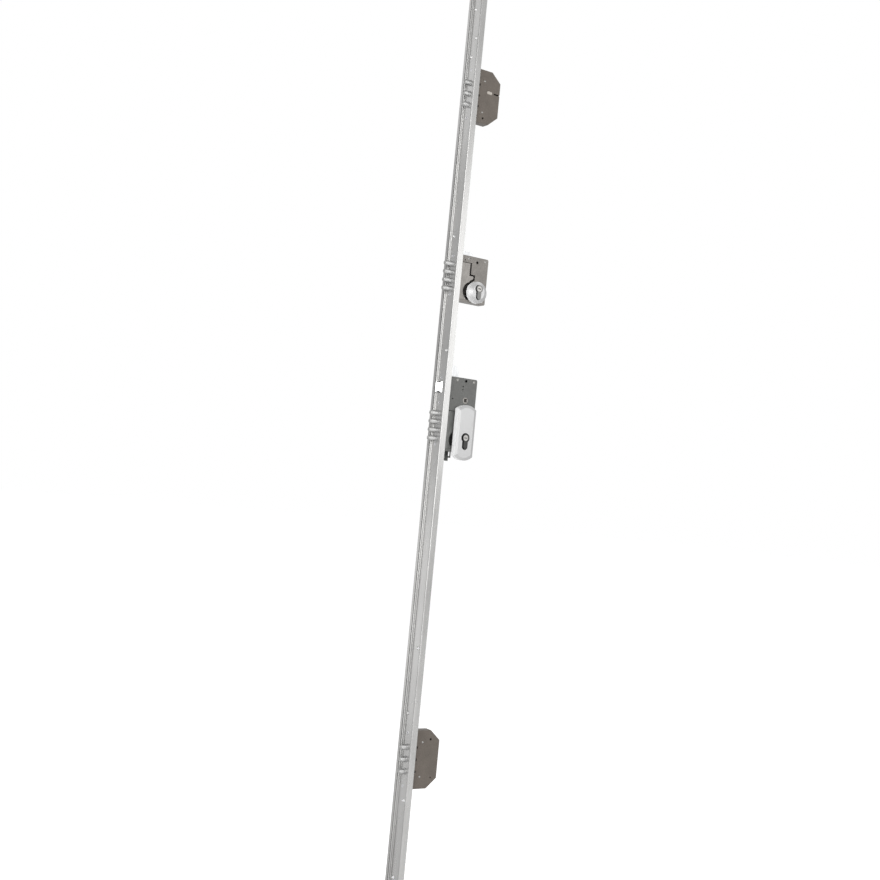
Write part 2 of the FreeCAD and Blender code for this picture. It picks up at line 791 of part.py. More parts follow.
def case_shells():
    """Trays and covers of the four cases."""
    cylinder = draw_cylinder_profile(S.backset, 0, S.running_gap)
    spindle = draw_circles([(S.backset, S.spindle_height, S.hub_boss + 2 * S.close_gap)])
    half_thick = S.latch_thickness / 2 + S.latch_gap
    half_tall = S.latch_tall / 2 + S.latch_gap
    latch_opening = draw_rectangle(-half_thick, half_thick,
                                   S.latch_height - half_tall, S.latch_height + half_tall)
    cylinder_screw = draw_circles([(0, -S.cylinder_screw_drop, S.fixing_hole)])
    clear = S.trim_screw + S.running_gap
    main_trim = draw_circles([(S.trim_screw_x, S.escutcheon_screw_top, clear),
                              (S.trim_screw_x, trim_centre - S.trim_screw_half, clear)])
    second_trim = draw_circles([(S.trim_screw_x, trim_centre + S.trim_screw_half, clear),
                                (S.trim_screw_x, trim_centre - S.trim_screw_half, clear)])
    upper_slot = through_pin_slot(S.upper_pin, S.throw_in, S.throw_out)
    lower_slot = through_pin_slot(S.lower_pin, S.throw_in, S.throw_out)
    main_case.tray([cylinder, spindle, main_trim, upper_slot, lower_slot], [latch_opening, cylinder_screw])
    second_case.tray([cylinder, second_trim], [cylinder_screw])
    window = draw_outline(window_outline())
    vent, pip = S.cover_vent, S.cover_pip
    column = rear_post - S.vent_inset
    pips = column - S.pip_inset
    main_marks = draw_circles([
        (column, main_high, vent),
        (pips, S.main_case_top - S.pip_drop, pip),
        (pips, S.main_case_top - S.pip_drop - S.pip_pitch, pip),
        (S.front_post - S.stop_pip_inset, S.spindle_height + S.stop_pip_rise, pip),
    ])
    second_marks = draw_circles([
        (column, second_high - S.vent_drop, vent),
        (S.front_post - S.second_pip_inset, S.second_case_top - S.second_pip_drop, pip),
    ])
    main_case.cover([cylinder, spindle, main_trim, window, main_marks])
    second_case.cover([cylinder, second_trim, window, second_marks])
    retract, extend = S.throw_in * S.outer_share, S.throw_out * S.outer_share
    for case, way in ((upper_case, 1), (lower_case, -1)):
        case.tray([through_pin_slot(-S.outer_pin_offset * way, retract, extend)], [])
        half = S.notch_height / 2
        front, back = S.notch_front, S.notch_front + S.notch_width
        notches = [draw_rectangle(front, back, z - half, z + half) for z in outer_bolts]
        if way > 0:
            guide = S.outer_pin_offset
            reach = (S.guide_length - S.guide_width) / 2
            slot = draw_slot((S.guide_x - reach, guide), (S.guide_x + reach, guide),
                             S.guide_width + 2 * S.close_gap)
            half = S.rear_notch_height / 2
            rear = draw_rectangle(S.rear_notch_front, S.outer_depth + PAST, guide - half, guide + half)
            holes = draw_circles([(S.upper_hole_x, -S.upper_hole_drop, S.cover_hole)])
            case.cover([slot, rear, holes] + notches)
        else:
            holes = draw_circles([(S.lower_hole_x, S.lower_hole_rise, S.cover_hole),
                                  (S.lower_pip_x, -S.lower_pip_drop, pip)])
            case.cover([holes] + notches)


def guide_block(case, way):
    """Round-ended block on the tray that the carriage's fork runs on."""
    body = new_body(f"{case.name}_guide_block", case.height)
    z = S.outer_pin_offset * way
    reach = (S.guide_length - S.guide_width) / 2
    front = -S.case_half if way > 0 else S.case_sheet - S.case_half
    pad(body, "XZ_Plane", front, S.case_half - S.case_sheet,
        draw_slot((S.guide_x - reach, z), (S.guide_x + reach, z), S.guide_width))


def bolt_set(name, height, reach, lowest, pitch, count):
    """Round bolts with bevelled tips, turned down to a spigot at the carriage."""
    body = new_body(name, height + lowest)
    radius = S.bolt_diameter / 2
    spigot = S.spigot_diameter / 2
    seat, end = S.bar_front, S.bar_front + S.bar_depth
    sketch = new_sketch(body, "XZ_Plane", 0)
    draw_outline([(-reach, 0), (end, 0), (end, spigot), (seat, spigot), (seat, radius),
                  (S.bolt_chamfer - reach, radius), (-reach, radius - S.bolt_chamfer)])(sketch)
    turned = body.newObject("PartDesign::Revolution", f"{body.Name}_turned")
    turned.Profile = sketch
    turned.ReferenceAxis = (origin_feature(body, "X_Axis"), [""])
    turned.Angle = 360
    body.Tip = turned
    doc.recompute()
    row = body.newObject("PartDesign::LinearPattern", f"{body.Name}_row")
    row.Originals = [turned]
    row.Direction = (origin_feature(body, "Z_Axis"), [""])
    bind(row, "Length", pitch * (count - 1))
    bind(row, "Occurrences", count)
    body.Tip = row


def bolt_carriage(name, height):
    """Carriage of four bolts: a bar with two pin lugs and the plate seen in the window."""
    body = new_body(name, height)
    near = S.case_sheet + S.moving_gap - S.case_half
    inner = near + S.plate_sheet
    far = S.case_half - S.case_sheet - S.bar_inset
    front, back = S.bar_front, S.bar_front + S.bar_depth
    low = -S.bolt_drop - S.bolt_diameter / 2 - S.bar_overrun
    high = S.plate_top - S.bar_top_inset
    pad(body, "XZ_Plane", inner, far, draw_rectangle(front, back, low, high))
    for z in (S.upper_pin, S.lower_pin):
        pad(body, "XZ_Plane", inner, far,
            draw_rectangle(back - PAST, front + S.lug_depth, z - S.lug_half, z + S.lug_half))
    right = S.plate_right
    hollow = right + S.hollow_edge
    plate = [
        (front, -S.plate_bottom),
        (hollow, -S.plate_bottom),
        (hollow, S.hollow_start - S.plate_bottom, S.hollow_radius, -1),
        (hollow, S.nose_bottom - S.nose_slope_low),
        (right + S.nose_slope_run, S.nose_bottom - S.nose_slope_high),
        (S.nose_reach, S.nose_bottom),
        (S.nose_reach, S.nose_top),
        (right, S.nose_top),
        (right, S.plate_top),
        (front, S.plate_top),
    ]
    pad(body, "XZ_Plane", near, inner, draw_outline(plate))
    spigots = [(0, z, S.spigot_diameter + 2 * S.close_gap) for z in main_bolts]
    cut(body, "YZ_Plane", front - PAST, back + PAST, draw_circles(spigots))
    pins = [(pin_x, z, S.pin_diameter + 2 * S.close_gap) for z in (S.upper_pin, S.lower_pin)]
    cut(body, "XZ_Plane", inner, far + PAST, draw_circles(pins))


def outer_carriage(case, way):
    """Carriage of three bolts: a bar with a pin lug and a fork on the guide block."""
    body = new_body(f"{case.name}_bolt_carriage", case.height)
    half = S.case_half - S.case_sheet - S.bar_inset
    front, back = S.bar_front, S.bar_front + S.bar_depth
    reach = outer_bolts[-1] + S.bolt_diameter / 2
    pad(body, "XZ_Plane", -half, half, draw_rectangle(front, back, -reach, reach))
    pin = -S.outer_pin_offset * way
    pad(body, "XZ_Plane", -half, half,
        draw_rectangle(back - PAST, front + S.lug_depth, pin - S.lug_half, pin + S.lug_half))
    guide = S.outer_pin_offset * way
    inside = S.guide_width / 2 + S.running_gap
    outside = inside + S.fork_prong
    root = back + S.fork_root
    fork = [
        (back - PAST, guide - outside),
        (S.fork_end, guide - outside),
        (S.fork_end, guide - inside),
        (root, guide - inside),
        (root, guide + inside),
        (S.fork_end, guide + inside),
        (S.fork_end, guide + outside),
        (back - PAST, guide + outside),
    ]
    pad(body, "XZ_Plane", -S.tail_half, S.tail_half, draw_outline(fork))
    spigots = [(0, z, S.spigot_diameter + 2 * S.close_gap) for z in outer_bolts]
    cut(body, "YZ_Plane", front - PAST, back + PAST / 2, draw_circles(spigots))
    cut(body, "XZ_Plane", -half - PAST, half + PAST,
        draw_circles([(pin_x, pin, S.pin_diameter + 2 * S.close_gap)]))


def layer(number):
    """Near and far faces of a rod layer behind the cases, 0 or 1."""
    near = S.case_half + S.rod_gap + (S.rod_sheet + S.rod_gap) * number
    return near, near + S.rod_sheet


def carriage_pin(name, height, z, start, number):
    """Pin of a carriage that works in the cam slot of a rod plate."""
    body = new_body(name, height)
    far = layer(number)[1]
    pad(body, "XZ_Plane", start, far, draw_circles([(pin_x, z, S.pin_diameter)]))


def cam_slot(z, rod_in, rod_out, share):
    """Sloping slot of a rod plate that a pin runs in, for a rod that rises as it locks."""
    width = S.pin_diameter + 2 * S.running_gap
    locked = (pin_x - rod_out * share, z - rod_out)
    opened = (pin_x + rod_in * share, z + rod_in)
    return draw_slot(locked, opened, width)


def upper_drive_plate():
    """Plate behind the main case that the main carriage lifts as it locks."""
    body = new_body("upper_drive_plate")
    near, far = layer(0)
    bottom = S.lower_pin - S.throw_out - S.cam_margin
    outline = [
        (S.rod_front, bottom),
        (S.drive_right, bottom),
        (S.drive_right, S.drive_shoulder),
        (S.drive_neck, S.drive_top),
        (S.rod_front, S.drive_top),
    ]
    pad(body, "XZ_Plane", near, far, draw_outline(outline))
    for z in (S.upper_pin, S.lower_pin):
        cut(body, "XZ_Plane", near - PAST, far + PAST, cam_slot(z, S.throw_in, S.throw_out, 1))


def lower_drive_plate():
    """Plate behind the main case that the main carriage lowers as it locks."""
    body = new_body("lower_drive_plate")
    near, far = layer(1)
    top = S.lower_pin + S.throw_out + S.cam_margin
    right = S.drive_right + S.lower_drive_step
    outline = [
        (S.rod_front, -S.lug_bottom),
        (S.tab_left + S.tab_step, -S.lug_bottom),
        (S.tab_left + S.tab_step, -S.tab_bottom),
        (right, -S.tab_bottom),
        (right, top),
        (S.rod_front, top),
    ]
    pad(body, "XZ_Plane", near, far, draw_outline(outline))
    slot = cam_slot(S.lower_pin, -S.throw_in, -S.throw_out, -1)
    cut(body, "XZ_Plane", near - PAST, far + PAST, slot)
    middle = (S.tab_left + S.drive_right) / 2 + S.lower_drive_step
    base = S.tab_slot / 2 - S.tab_bottom
    cut(body, "XZ_Plane", near - PAST, far + PAST,
        draw_slot((middle, base + S.tab_slot_low), (middle, base + S.tab_slot_high), S.tab_slot))


def outer_cam_plate(case, way, number):
    """Plate behind an outer case that turns the rod's travel into bolt travel."""
    body = new_body(f"{case.name}_cam_plate", case.height)
    near, far = layer(number)
    pin = -S.outer_pin_offset * way
    margin = S.outer_cam_margin
    ahead, behind = S.throw_in + margin, S.throw_out + margin
    low, high = (pin - behind, pin + ahead) if way > 0 else (pin - ahead, pin + behind)
    pad(body, "XZ_Plane", near, far,
        draw_rectangle(S.rod_front, pin_x + S.throw_in * S.outer_share + margin, low, high))
    slot = cam_slot(pin, S.throw_in * way, S.throw_out * way, S.outer_share * way)
    cut(body, "XZ_Plane", near - PAST, far + PAST, slot)


def rod_bar(name, low, high, number):
    """Flat bar that runs in the forend channel between two plates."""
    body = new_body(name)
    near, far = layer(number)
    pad(body, "XZ_Plane", near, far, draw_rectangle(S.rod_front, S.rod_front + S.rod_width, low, high))


def box(x0, x1, y0, y1, z0, z1):
    """Block between six places, in millimetres."""
    return Part.makeBox(x1 - x0, y1 - y0, z1 - z0, Vector(x0, y0, z0))


def rod_links(name, joints, number):
    """Strips that lap the joints between a rod's bar and its plates."""
    near = layer(number)[1].value
    far = near + S.link_sheet.value
    half = S.link_length.value / 2
    front, back = S.rod_front.value, (S.rod_front + S.rod_width).value
    new_group(name, [box(front, back, near, far, z.value - half, z.value + half) for z in joints])


def between(low, high, share):
    """Height at a share of the way from one height up to another."""
    return low + (high - low) * share


def rod_clips(name, places, number):
    """Keepers on the back of the forend face that the bar slides through."""
    near, far = (face.value for face in layer(number))
    gap, wall = S.running_gap.value, S.clip_sheet.value
    front = S.profile_sheet.value
    back = (S.rod_front + S.rod_width).value + gap
    inner = (S.rod_front.value - gap, back)
    solids = []
    for z in (place.value for place in places):
        low, high = z - S.clip_length.value / 2, z + S.clip_length.value / 2
        loop = box(front, back + wall, near - gap - wall, far + gap + wall, low, high)
        bore = box(inner[0], inner[1], near - gap, far + gap, low - PAST, high + PAST)
        solids.append(loop.cut(bore))
    new_group(name, solids)


def second_rod_keeper():
    """Plate on the back of the second case that bridges the upper rod and shows above it."""
    body = new_body("second_rod_keeper")
    near = S.case_half
    sheet = S.keeper_sheet
    bridge = layer(0)[1] + S.running_gap
    fold = S.rod_front + S.rod_width + S.keeper_step
    top = S.second_height + S.second_case_top + S.keeper_rise
    section = [
        (fold, near),
        (S.keeper_right, near),
        (S.keeper_right, near + sheet),
        (fold + sheet, near + sheet),
        (fold + sheet, bridge + sheet),
        (S.rod_front, bridge + sheet),
        (S.rod_front, bridge),
        (fold, bridge),
    ]
    pad(body, "XY_Plane", top - S.keeper_length, top, draw_outline(section))
    round_edges(body, S.keeper_corner, cross_edges((S.keeper_right, top)))


def cylinder_body(name, height):
    """Profile cylinder housing: two halves joined by the bridge under the cam."""
    body = new_body(name, height)
    half = S.cylinder_half
    pad(body, "XZ_Plane", -half, half, draw_cylinder_profile(S.backset, 0, 0))
    cut(body, "XZ_Plane", -half - PAST, half + PAST,
        draw_circles([(S.backset, 0, S.plug_diameter + 2 * S.close_gap)]))
    side = S.cam_width / 2 + S.running_gap
    reach = S.cam_radius + S.running_gap
    left, right = S.backset - S.cylinder_head, S.backset + S.cylinder_head
    cut(body, "XZ_Plane", -side, side, draw_rectangle(left, right, -reach, S.cylinder_head))
    cut(body, "YZ_Plane", left, right,
        draw_circles([(0, -S.cylinder_screw_drop, S.cylinder_screw + 2 * S.close_gap)]))


def cylinder_plugs(name, height):
    """The two plugs of a cylinder, each with its key slot."""
    body = new_body(name, height)
    inner = S.cam_width / 2
    outer = S.cylinder_half - S.plug_inset
    pad(body, "XZ_Plane", -outer, -inner, draw_circles([(S.backset, 0, S.plug_diameter)]))
    pad(body, "XZ_Plane", inner, outer, draw_circles([(S.backset, 0, S.plug_diameter)]))
    key = draw_rectangle(S.backset - S.key_width / 2, S.backset + S.key_width / 2,
                         -S.key_height / 2, S.key_height / 2)
    cut(body, "XZ_Plane", -outer - PAST, S.key_depth - outer, key)
    cut(body, "XZ_Plane", outer - S.key_depth, outer + PAST, key)


def cylinder_cam(name, height):
    """Cam between the plugs, whose tooth throws the carriage."""
    body = new_body(name, height)
    side = S.cam_width / 2
    pad(body, "XZ_Plane", -side, side, draw_circles([(S.backset, 0, S.plug_diameter)]))
    half = S.cam_tooth / 2
    tip = (S.cam_radius * S.cam_radius - half * half).root()
    tooth = [(S.backset - half, 0), (S.backset - half, -tip, S.cam_radius, 1), (S.backset + half, -tip),
             (S.backset + half, 0)]
    pad(body, "XZ_Plane", -side, side, draw_outline(tooth))


def countersunk_screw(x, z, length, diameter, head):
    """Countersunk screw driven in from the front face along X."""
    depth = (head - diameter) / 2
    along = Vector(1, 0, 0)
    cone = Part.makeCone(head / 2, diameter / 2, depth, Vector(x, 0, z), along)
    shank = Part.makeCylinder(diameter / 2, length - depth, Vector(x + depth, 0, z), along)
    recess = Part.makeCylinder(S.recess_diameter.value / 2, S.recess_depth.value + PAST,
                               Vector(x - PAST, 0, z), along)
    return cone.fuse(shank).removeSplitter().cut(recess)


def forend_screws():
    """Screws that go in from the forend: those of the cases and of the cylinders."""
    diameter = S.cylinder_screw.value
    head = S.screw_head.value
    short = (S.profile_sheet + S.case_front + S.screw_past).value
    solids = [countersunk_screw(0, z.value, short, diameter, head) for z in case_screw_heights()]
    new_group("case_fixing_screws", solids)
    length = S.cylinder_screw_length.value
    for name, height in (("main", 0.0), ("second", S.second_height.value)):
        z = height - S.cylinder_screw_drop.value
        new_group(f"{name}_cylinder_screw", [countersunk_screw(0, z, length, diameter, head)])


def bolt_collars():
    """Flanged guide collars pressed into the forend, one round each bolt."""
    along = Vector(1, 0, 0)
    bore = S.bolt_diameter.value / 2 + S.close_gap.value
    depth = S.profile_sheet.value + S.case_front.value
    lip = S.collar_lip.value
    solids = []
    for z in all_bolts:
        place = Vector(-lip, 0, z.value)
        flange = Part.makeCylinder(S.collar_flange.value / 2, lip, place, along)
        sleeve = Part.makeCylinder(S.collar_outside.value / 2, depth + lip, place, along)
        hole = Part.makeCylinder(bore, depth + lip + 2 * PAST, place - along * PAST, along)
        solids.append(flange.fuse(sleeve).cut(hole))
    new_group("bolt_collars", solids)


def cover_rivets():
    """Domed rivets that hold each cover to the posts of its tray."""
    away = Vector(0, -1, 0)
    radius, crown = S.rivet_head.value / 2, S.rivet_crown.value
    ball = (radius ** 2 + crown ** 2) / (2 * crown)
    face = -S.case_half.value
    for case in cases:
        base = case.height.value
        solids = []
        for x, z in case.posts:
            seat = Vector(x.value, face, base + z.value)
            length = S.rivet_length.value
            rivet = Part.makeCylinder(S.rivet_diameter.value / 2, length, seat - away * length, away)
            if (x, z) in case.domed_posts:
                dome = Part.makeSphere(ball, seat - away * (ball - crown))
                rivet = rivet.fuse(dome.common(Part.makeCylinder(radius, crown, seat, away)))
            solids.append(rivet)
        new_group(f"{case.name}_cover_rivets", solids)


def trim_screws(name, points):
    """Screws from the back of a case that hold the trim on its keyed side."""
    toward = Vector(0, -1, 0)
    head, tall = S.trim_screw_head.value / 2, S.trim_screw_head_height.value
    back = S.case_half.value
    length = 2 * back + S.trim_screw_depth.value
    deep, half = S.trim_slot_depth.value, S.trim_slot_width.value / 2
    solids = []
    for z in points:
        seat = Vector(S.trim_screw_x.value, back + tall, z)
        top = Part.makeCylinder(head, tall, seat, toward)
        shank = Part.makeCylinder(S.trim_screw.value / 2, length + tall, seat, toward)
        slot = box(seat.x - head - PAST, seat.x + head + PAST, back + tall - deep, back + tall + PAST,
                   z - half, z + half)
        solids.append(top.fuse(shank).cut(slot))
    new_group(name, solids)


# The trim is centred on the cylinder's whole outline, not on its plug.
trim_centre = (S.cylinder_head - S.cylinder_height) / 2


def main_escutcheon():
    """Long security escutcheon with bowed ends, bevelled rim and hollow back."""
    body = new_body("main_escutcheon")
    base = -S.case_half
    face = base - S.escutcheon_height
    half = S.escutcheon_width / 2
    left, right = S.backset - half, S.backset + half
    high = S.escutcheon_top - S.escutcheon_rise
    low = S.escutcheon_rise - S.escutcheon_bottom
    bow = (half * half + S.escutcheon_rise * S.escutcheon_rise) / (S.escutcheon_rise * 2)
    outline = [(left, high), (left, low, bow, 1), (right, low), (right, high, bow, 1)]
    pad(body, "XZ_Plane", face, base, draw_outline(outline))
    round_edges(body, S.escutcheon_bevel, lambda edge: edge.BoundBox.YMax < face.value + 0.01,
                "PartDesign::Chamfer", "Size")
    wall = S.escutcheon_wall
    solid = S.trim_screw_x - S.escutcheon_solid
    hollow = draw_rectangle(left + wall, solid, low + wall, high - wall)
    cut(body, "XZ_Plane", face + S.escutcheon_front, base + PAST, hollow)
    cut(body, "XZ_Plane", face - PAST, base + PAST,
        draw_cylinder_profile(S.backset, 0, S.cylinder_clearance))
    screws = [(S.trim_screw_x, z, S.trim_screw + 2 * S.close_gap)
              for z in (S.escutcheon_screw_top, trim_centre - S.trim_screw_half)]
    cut(body, "XZ_Plane", base - S.trim_screw_depth - S.trim_tip_gap, base + PAST, draw_circles(screws))


def second_rosette():
    """Round security rosette: a drum with a conical front and a flat face."""
    body = new_body("second_rosette", S.second_height + trim_centre)
    base = -S.case_half
    outside = S.backset + S.rosette_diameter / 2
    face_edge = S.backset + S.rosette_face / 2
    sketch = new_sketch(body, "XY_Plane", 0)
    draw_outline([(S.backset, base), (S.backset, base - S.rosette_height),
                  (face_edge, base - S.rosette_height), (outside, base - S.rosette_side),
                  (outside, base)])(sketch)
    turned = body.newObject("PartDesign::Revolution", "second_rosette_turned")
    turned.Profile = sketch
    turned.ReferenceAxis = (sketch, ["Edge1"])
    turned.Angle = 360
    body.Tip = turned
    doc.recompute()
    cut(body, "XZ_Plane", base - S.rosette_height - PAST, base + PAST,
        draw_cylinder_profile(S.backset, -trim_centre, S.cylinder_clearance))
    screws = [(S.trim_screw_x, z, S.trim_screw + 2 * S.close_gap)
              for z in (-S.trim_screw_half, S.trim_screw_half)]
    cut(body, "XZ_Plane", base - S.trim_screw_depth - S.trim_tip_gap, base + PAST, draw_circles(screws))


def latch_bolt():
    """Bevelled latch bolt with grooved edges, its tail and the lug that the follower pulls."""
    body = new_body("latch_bolt")
    half = S.latch_thickness / 2
    low, high = S.latch_height - S.latch_tall / 2, S.latch_height + S.latch_tall / 2
    head = [(-S.latch_reach, half), (-S.latch_reach, half - S.latch_nose), (-S.latch_root, -half),
            (S.latch_inside, -half), (S.latch_inside, half)]
    pad(body, "XY_Plane", low, high, draw_outline(head))
    groove = S.latch_groove
    cut(body, "YZ_Plane", -S.latch_reach - PAST, S.latch_inside + PAST,
        draw_circles([(0, low - groove, groove * 4), (0, high + groove, groove * 4)]))
    tail_low = S.spindle_height + S.arm_length + S.arm_tip_gap
    tail_high = tail_low + 2 * S.tail_half
    lug = S.backset + S.arm_half + S.arm_gap
    tail = [
        (S.latch_inside - PAST, tail_low),
        (lug, tail_low),
        (lug, S.tail_lug_bottom),
        (lug + S.tail_lug, S.tail_lug_bottom),
        (lug + S.tail_lug, tail_low),
        (S.tail_end, tail_low),
        (S.tail_end, tail_high),
        (S.latch_inside - PAST, tail_high),
    ]
    pad(body, "XZ_Plane", -S.tail_half, S.tail_half, draw_outline(tail))


def latch_spring():
    """Coil between the latch tail and the rear wall of the case."""
    wire, mean = S.spring_wire.value / 2, (S.spring_diameter - S.spring_wire).value / 2
    start = (S.tail_end + S.close_gap).value + wire
    end = (S.case_depth - S.case_sheet - S.close_gap).value - wire
    turns = S.spring_turns.value
    helix = Part.makeHelix((end - start) / turns, end - start, mean)
    section = Part.Wire([Part.makeCircle(wire, Vector(mean, 0, 0), Vector(0, 1, 0))])
    coil = Part.Wire(helix).makePipeShell([section], True, True)
    height = S.spindle_height + S.arm_length + S.arm_tip_gap + S.tail_half
    coil.rotate(Vector(0, 0, 0), Vector(0, 1, 0), 90)
    coil.translate(Vector(start, 0, height.value))
    new_group("latch_spring", [coil])


def handle_follower():
    """Follower with a square bore for the handle spindle and an arm that pulls the latch."""
    body = new_body("handle_follower")
    x, z = S.backset, S.spindle_height
    inside = S.case_half - S.case_sheet - S.running_gap
    outside = S.case_half + S.moving_gap
    pad(body, "XZ_Plane", -outside, outside, draw_circles([(x, z, S.hub_boss)]))
    pad(body, "XZ_Plane", -inside, inside, draw_circles([(x, z, S.hub_diameter)]))
    pad(body, "XZ_Plane", -S.tail_half, S.tail_half,
        draw_rectangle(x - S.arm_half, x + S.arm_half, z, z + S.arm_length))
    half = S.spindle_square / 2
    square = draw_rectangle(x - half, x + half, z - half, z + half)
    cut(body, "XZ_Plane", -outside - PAST, outside + PAST, square)


forend_profile()
case_shells()
guide_block(upper_case, 1)
guide_block(lower_case, -1)

bolt_set("main_bolts", as_size(0), S.bolt_reach, -S.bolt_drop, S.bolt_pitch, S.bolt_count)
bolt_set("second_bolts", S.second_height, S.bolt_reach, -S.bolt_drop, S.bolt_pitch, S.bolt_count)
for case in (upper_case, lower_case):
    bolt_set(f"{case.name}_bolts", case.height, S.outer_reach, outer_bolts[0], S.outer_pitch,
             S.outer_bolt_count)
bolt_carriage("main_bolt_carriage", as_size(0))
bolt_carriage("second_bolt_carriage", S.second_height)
outer_carriage(upper_case, 1)
outer_carriage(lower_case, -1)

bar_near = S.case_sheet + S.moving_gap + S.plate_sheet - S.case_half
carriage_pin("main_upper_pin", as_size(0), S.upper_pin, bar_near, 0)
carriage_pin("main_lower_pin", as_size(0), S.lower_pin, bar_near, 1)
outer_near = S.case_sheet + S.bar_inset - S.case_half
carriage_pin("upper_carriage_pin", S.upper_height, -S.outer_pin_offset, outer_near, 0)
carriage_pin("lower_carriage_pin", -S.lower_height, S.outer_pin_offset, outer_near, 1)

upper_drive_plate()
lower_drive_plate()
outer_cam_plate(upper_case, 1, 0)
outer_cam_plate(lower_case, -1, 1)
cam_end = S.outer_pin_offset + S.throw_out + S.outer_cam_margin
upper_joints = [S.drive_top, S.upper_height - cam_end]
lower_joints = [cam_end - S.lower_height, -S.lug_bottom]
rod_bar("upper_rod_bar", upper_joints[0], upper_joints[1], 0)
rod_bar("lower_rod_bar", lower_joints[0], lower_joints[1], 1)
rod_links("upper_rod_links", upper_joints, 0)
rod_links("lower_rod_links", lower_joints, 1)
second_foot = S.second_height - S.case_bottom
keeper_top = S.second_height + S.second_case_top + S.keeper_rise
upper_foot = S.upper_height - S.outer_half_height
lower_head = S.outer_half_height - S.lower_height
rod_clips("upper_rod_clips", [between(S.main_case_top, second_foot, 0.5),
                              between(keeper_top, upper_foot, 0.25),
                              between(keeper_top, upper_foot, 0.75)], 0)
rod_clips("lower_rod_clips", [between(lower_head, -S.lug_bottom, share) for share in (0.17, 0.5, 0.83)], 1)
second_rod_keeper()

for lock, lift in (("main", as_size(0)), ("second", S.second_height)):
    cylinder_body(f"{lock}_cylinder_body", lift)
    cylinder_plugs(f"{lock}_cylinder_plugs", lift)
    cylinder_cam(f"{lock}_cylinder_cam", lift)
main_escutcheon()
second_rosette()
latch_bolt()
latch_spring()
handle_follower()
doc.recompute()

forend_screws()
bolt_collars()
cover_rivets()
trim_screws("escutcheon_screws", [S.escutcheon_screw_top.value, (trim_centre - S.trim_screw_half).value])
trim_screws("rosette_screws", [(S.second_height + trim_centre + way * S.trim_screw_half).value
                               for way in (-1, 1)])
doc.recompute()

for item in doc.Objects:
    if "Invalid" in item.State or "Error" in item.State:
        raise RuntimeError(f"{item.Label} failed: {item.State}")
os.makedirs("parts", exist_ok=True)
for node in nodes:
    shape = node.Shape
    if shape.isNull() or not shape.isValid():
        raise RuntimeError(f"{node.Label} has no valid shape")
    shape.exportStep(f"parts/{node.Label}.step")
print(len(nodes), "sub-parts,", sum(len(node.Shape.Solids) for node in nodes), "solids")
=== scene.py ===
"""Looks of the multipoint mortise lock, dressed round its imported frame."""
import logging
import math
from dataclasses import dataclass
from enum import Enum

import bmesh
import bpy
from mathutils import Matrix, Vector


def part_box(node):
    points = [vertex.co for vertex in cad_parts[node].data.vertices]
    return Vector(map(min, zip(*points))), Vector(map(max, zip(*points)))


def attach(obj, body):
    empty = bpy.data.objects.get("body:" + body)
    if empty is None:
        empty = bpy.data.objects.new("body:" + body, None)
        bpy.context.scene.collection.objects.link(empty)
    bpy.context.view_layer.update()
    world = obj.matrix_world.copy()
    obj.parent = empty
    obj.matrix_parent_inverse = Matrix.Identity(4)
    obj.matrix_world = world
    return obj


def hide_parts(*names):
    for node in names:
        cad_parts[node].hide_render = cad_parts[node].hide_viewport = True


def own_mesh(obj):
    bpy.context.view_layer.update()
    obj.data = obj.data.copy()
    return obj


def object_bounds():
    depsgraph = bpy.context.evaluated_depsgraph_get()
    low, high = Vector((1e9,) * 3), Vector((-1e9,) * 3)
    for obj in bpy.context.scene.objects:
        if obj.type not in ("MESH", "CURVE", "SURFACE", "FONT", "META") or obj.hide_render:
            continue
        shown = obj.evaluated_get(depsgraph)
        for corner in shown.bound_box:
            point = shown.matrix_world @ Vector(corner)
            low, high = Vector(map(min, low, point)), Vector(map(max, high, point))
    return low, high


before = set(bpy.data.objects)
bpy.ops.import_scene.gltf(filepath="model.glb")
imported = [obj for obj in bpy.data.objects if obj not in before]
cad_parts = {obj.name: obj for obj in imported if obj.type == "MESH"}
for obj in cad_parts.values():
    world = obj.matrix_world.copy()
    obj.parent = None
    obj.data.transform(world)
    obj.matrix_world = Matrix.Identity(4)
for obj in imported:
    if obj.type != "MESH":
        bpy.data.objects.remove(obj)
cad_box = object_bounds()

logging.basicConfig(level=logging.INFO, format="%(message)s")
log = logging.getLogger("lock")

Box = tuple[Vector, Vector]
Colour = tuple[float, float, float]
Profile = list[tuple[float, float]]
Shape = bmesh.types.BMesh
Socket = bpy.types.NodeSocket
Span = tuple[float, float]
Tree = bpy.types.NodeTree

MM = 0.001
ALONG_X = Vector((1, 0, 0))
ALONG_Y = Vector((0, 1, 0))
ALONG_Z = Vector((0, 0, 1))

# Points of a CAD mesh, and of a turned form, that lie this close are one point.
WELD = 0.002 * MM
LATHE_WELD = 0.001 * MM
# Points this close in height or depth are level.
LEVEL = 0.01 * MM
# Faces that meet at less than this are one flat face.
FLAT = math.radians(0.6)
# Edges bent more than this stay sharp in the shading.
CREASE = math.radians(32)
# Edges bent more than this are eased.
EASED = math.radians(40)
# A face whose normal has less than this along an axis runs along it.
ALONGSIDE = 0.1
# Material slots of a piece that has more than one finish.
SECOND_FINISH = 1
THIRD_FINISH = 2

# Octaves of the noise that makes the marks of a finish, and of its wide patches.
MARK_DETAIL = 4.0
PATCH_DETAIL = 3.0
# Where the noise starts and stops changing the surface.
NOISE_SPAN = (0.3, 0.7)
MARK_SPAN = (0.32, 0.68)
# Least and greatest roughness, as shares of the mean.
GLOSS_SPAN = (0.88, 1.14)
COAT_ROUGHNESS = 0.25
RELIEF_STRENGTH = 0.6


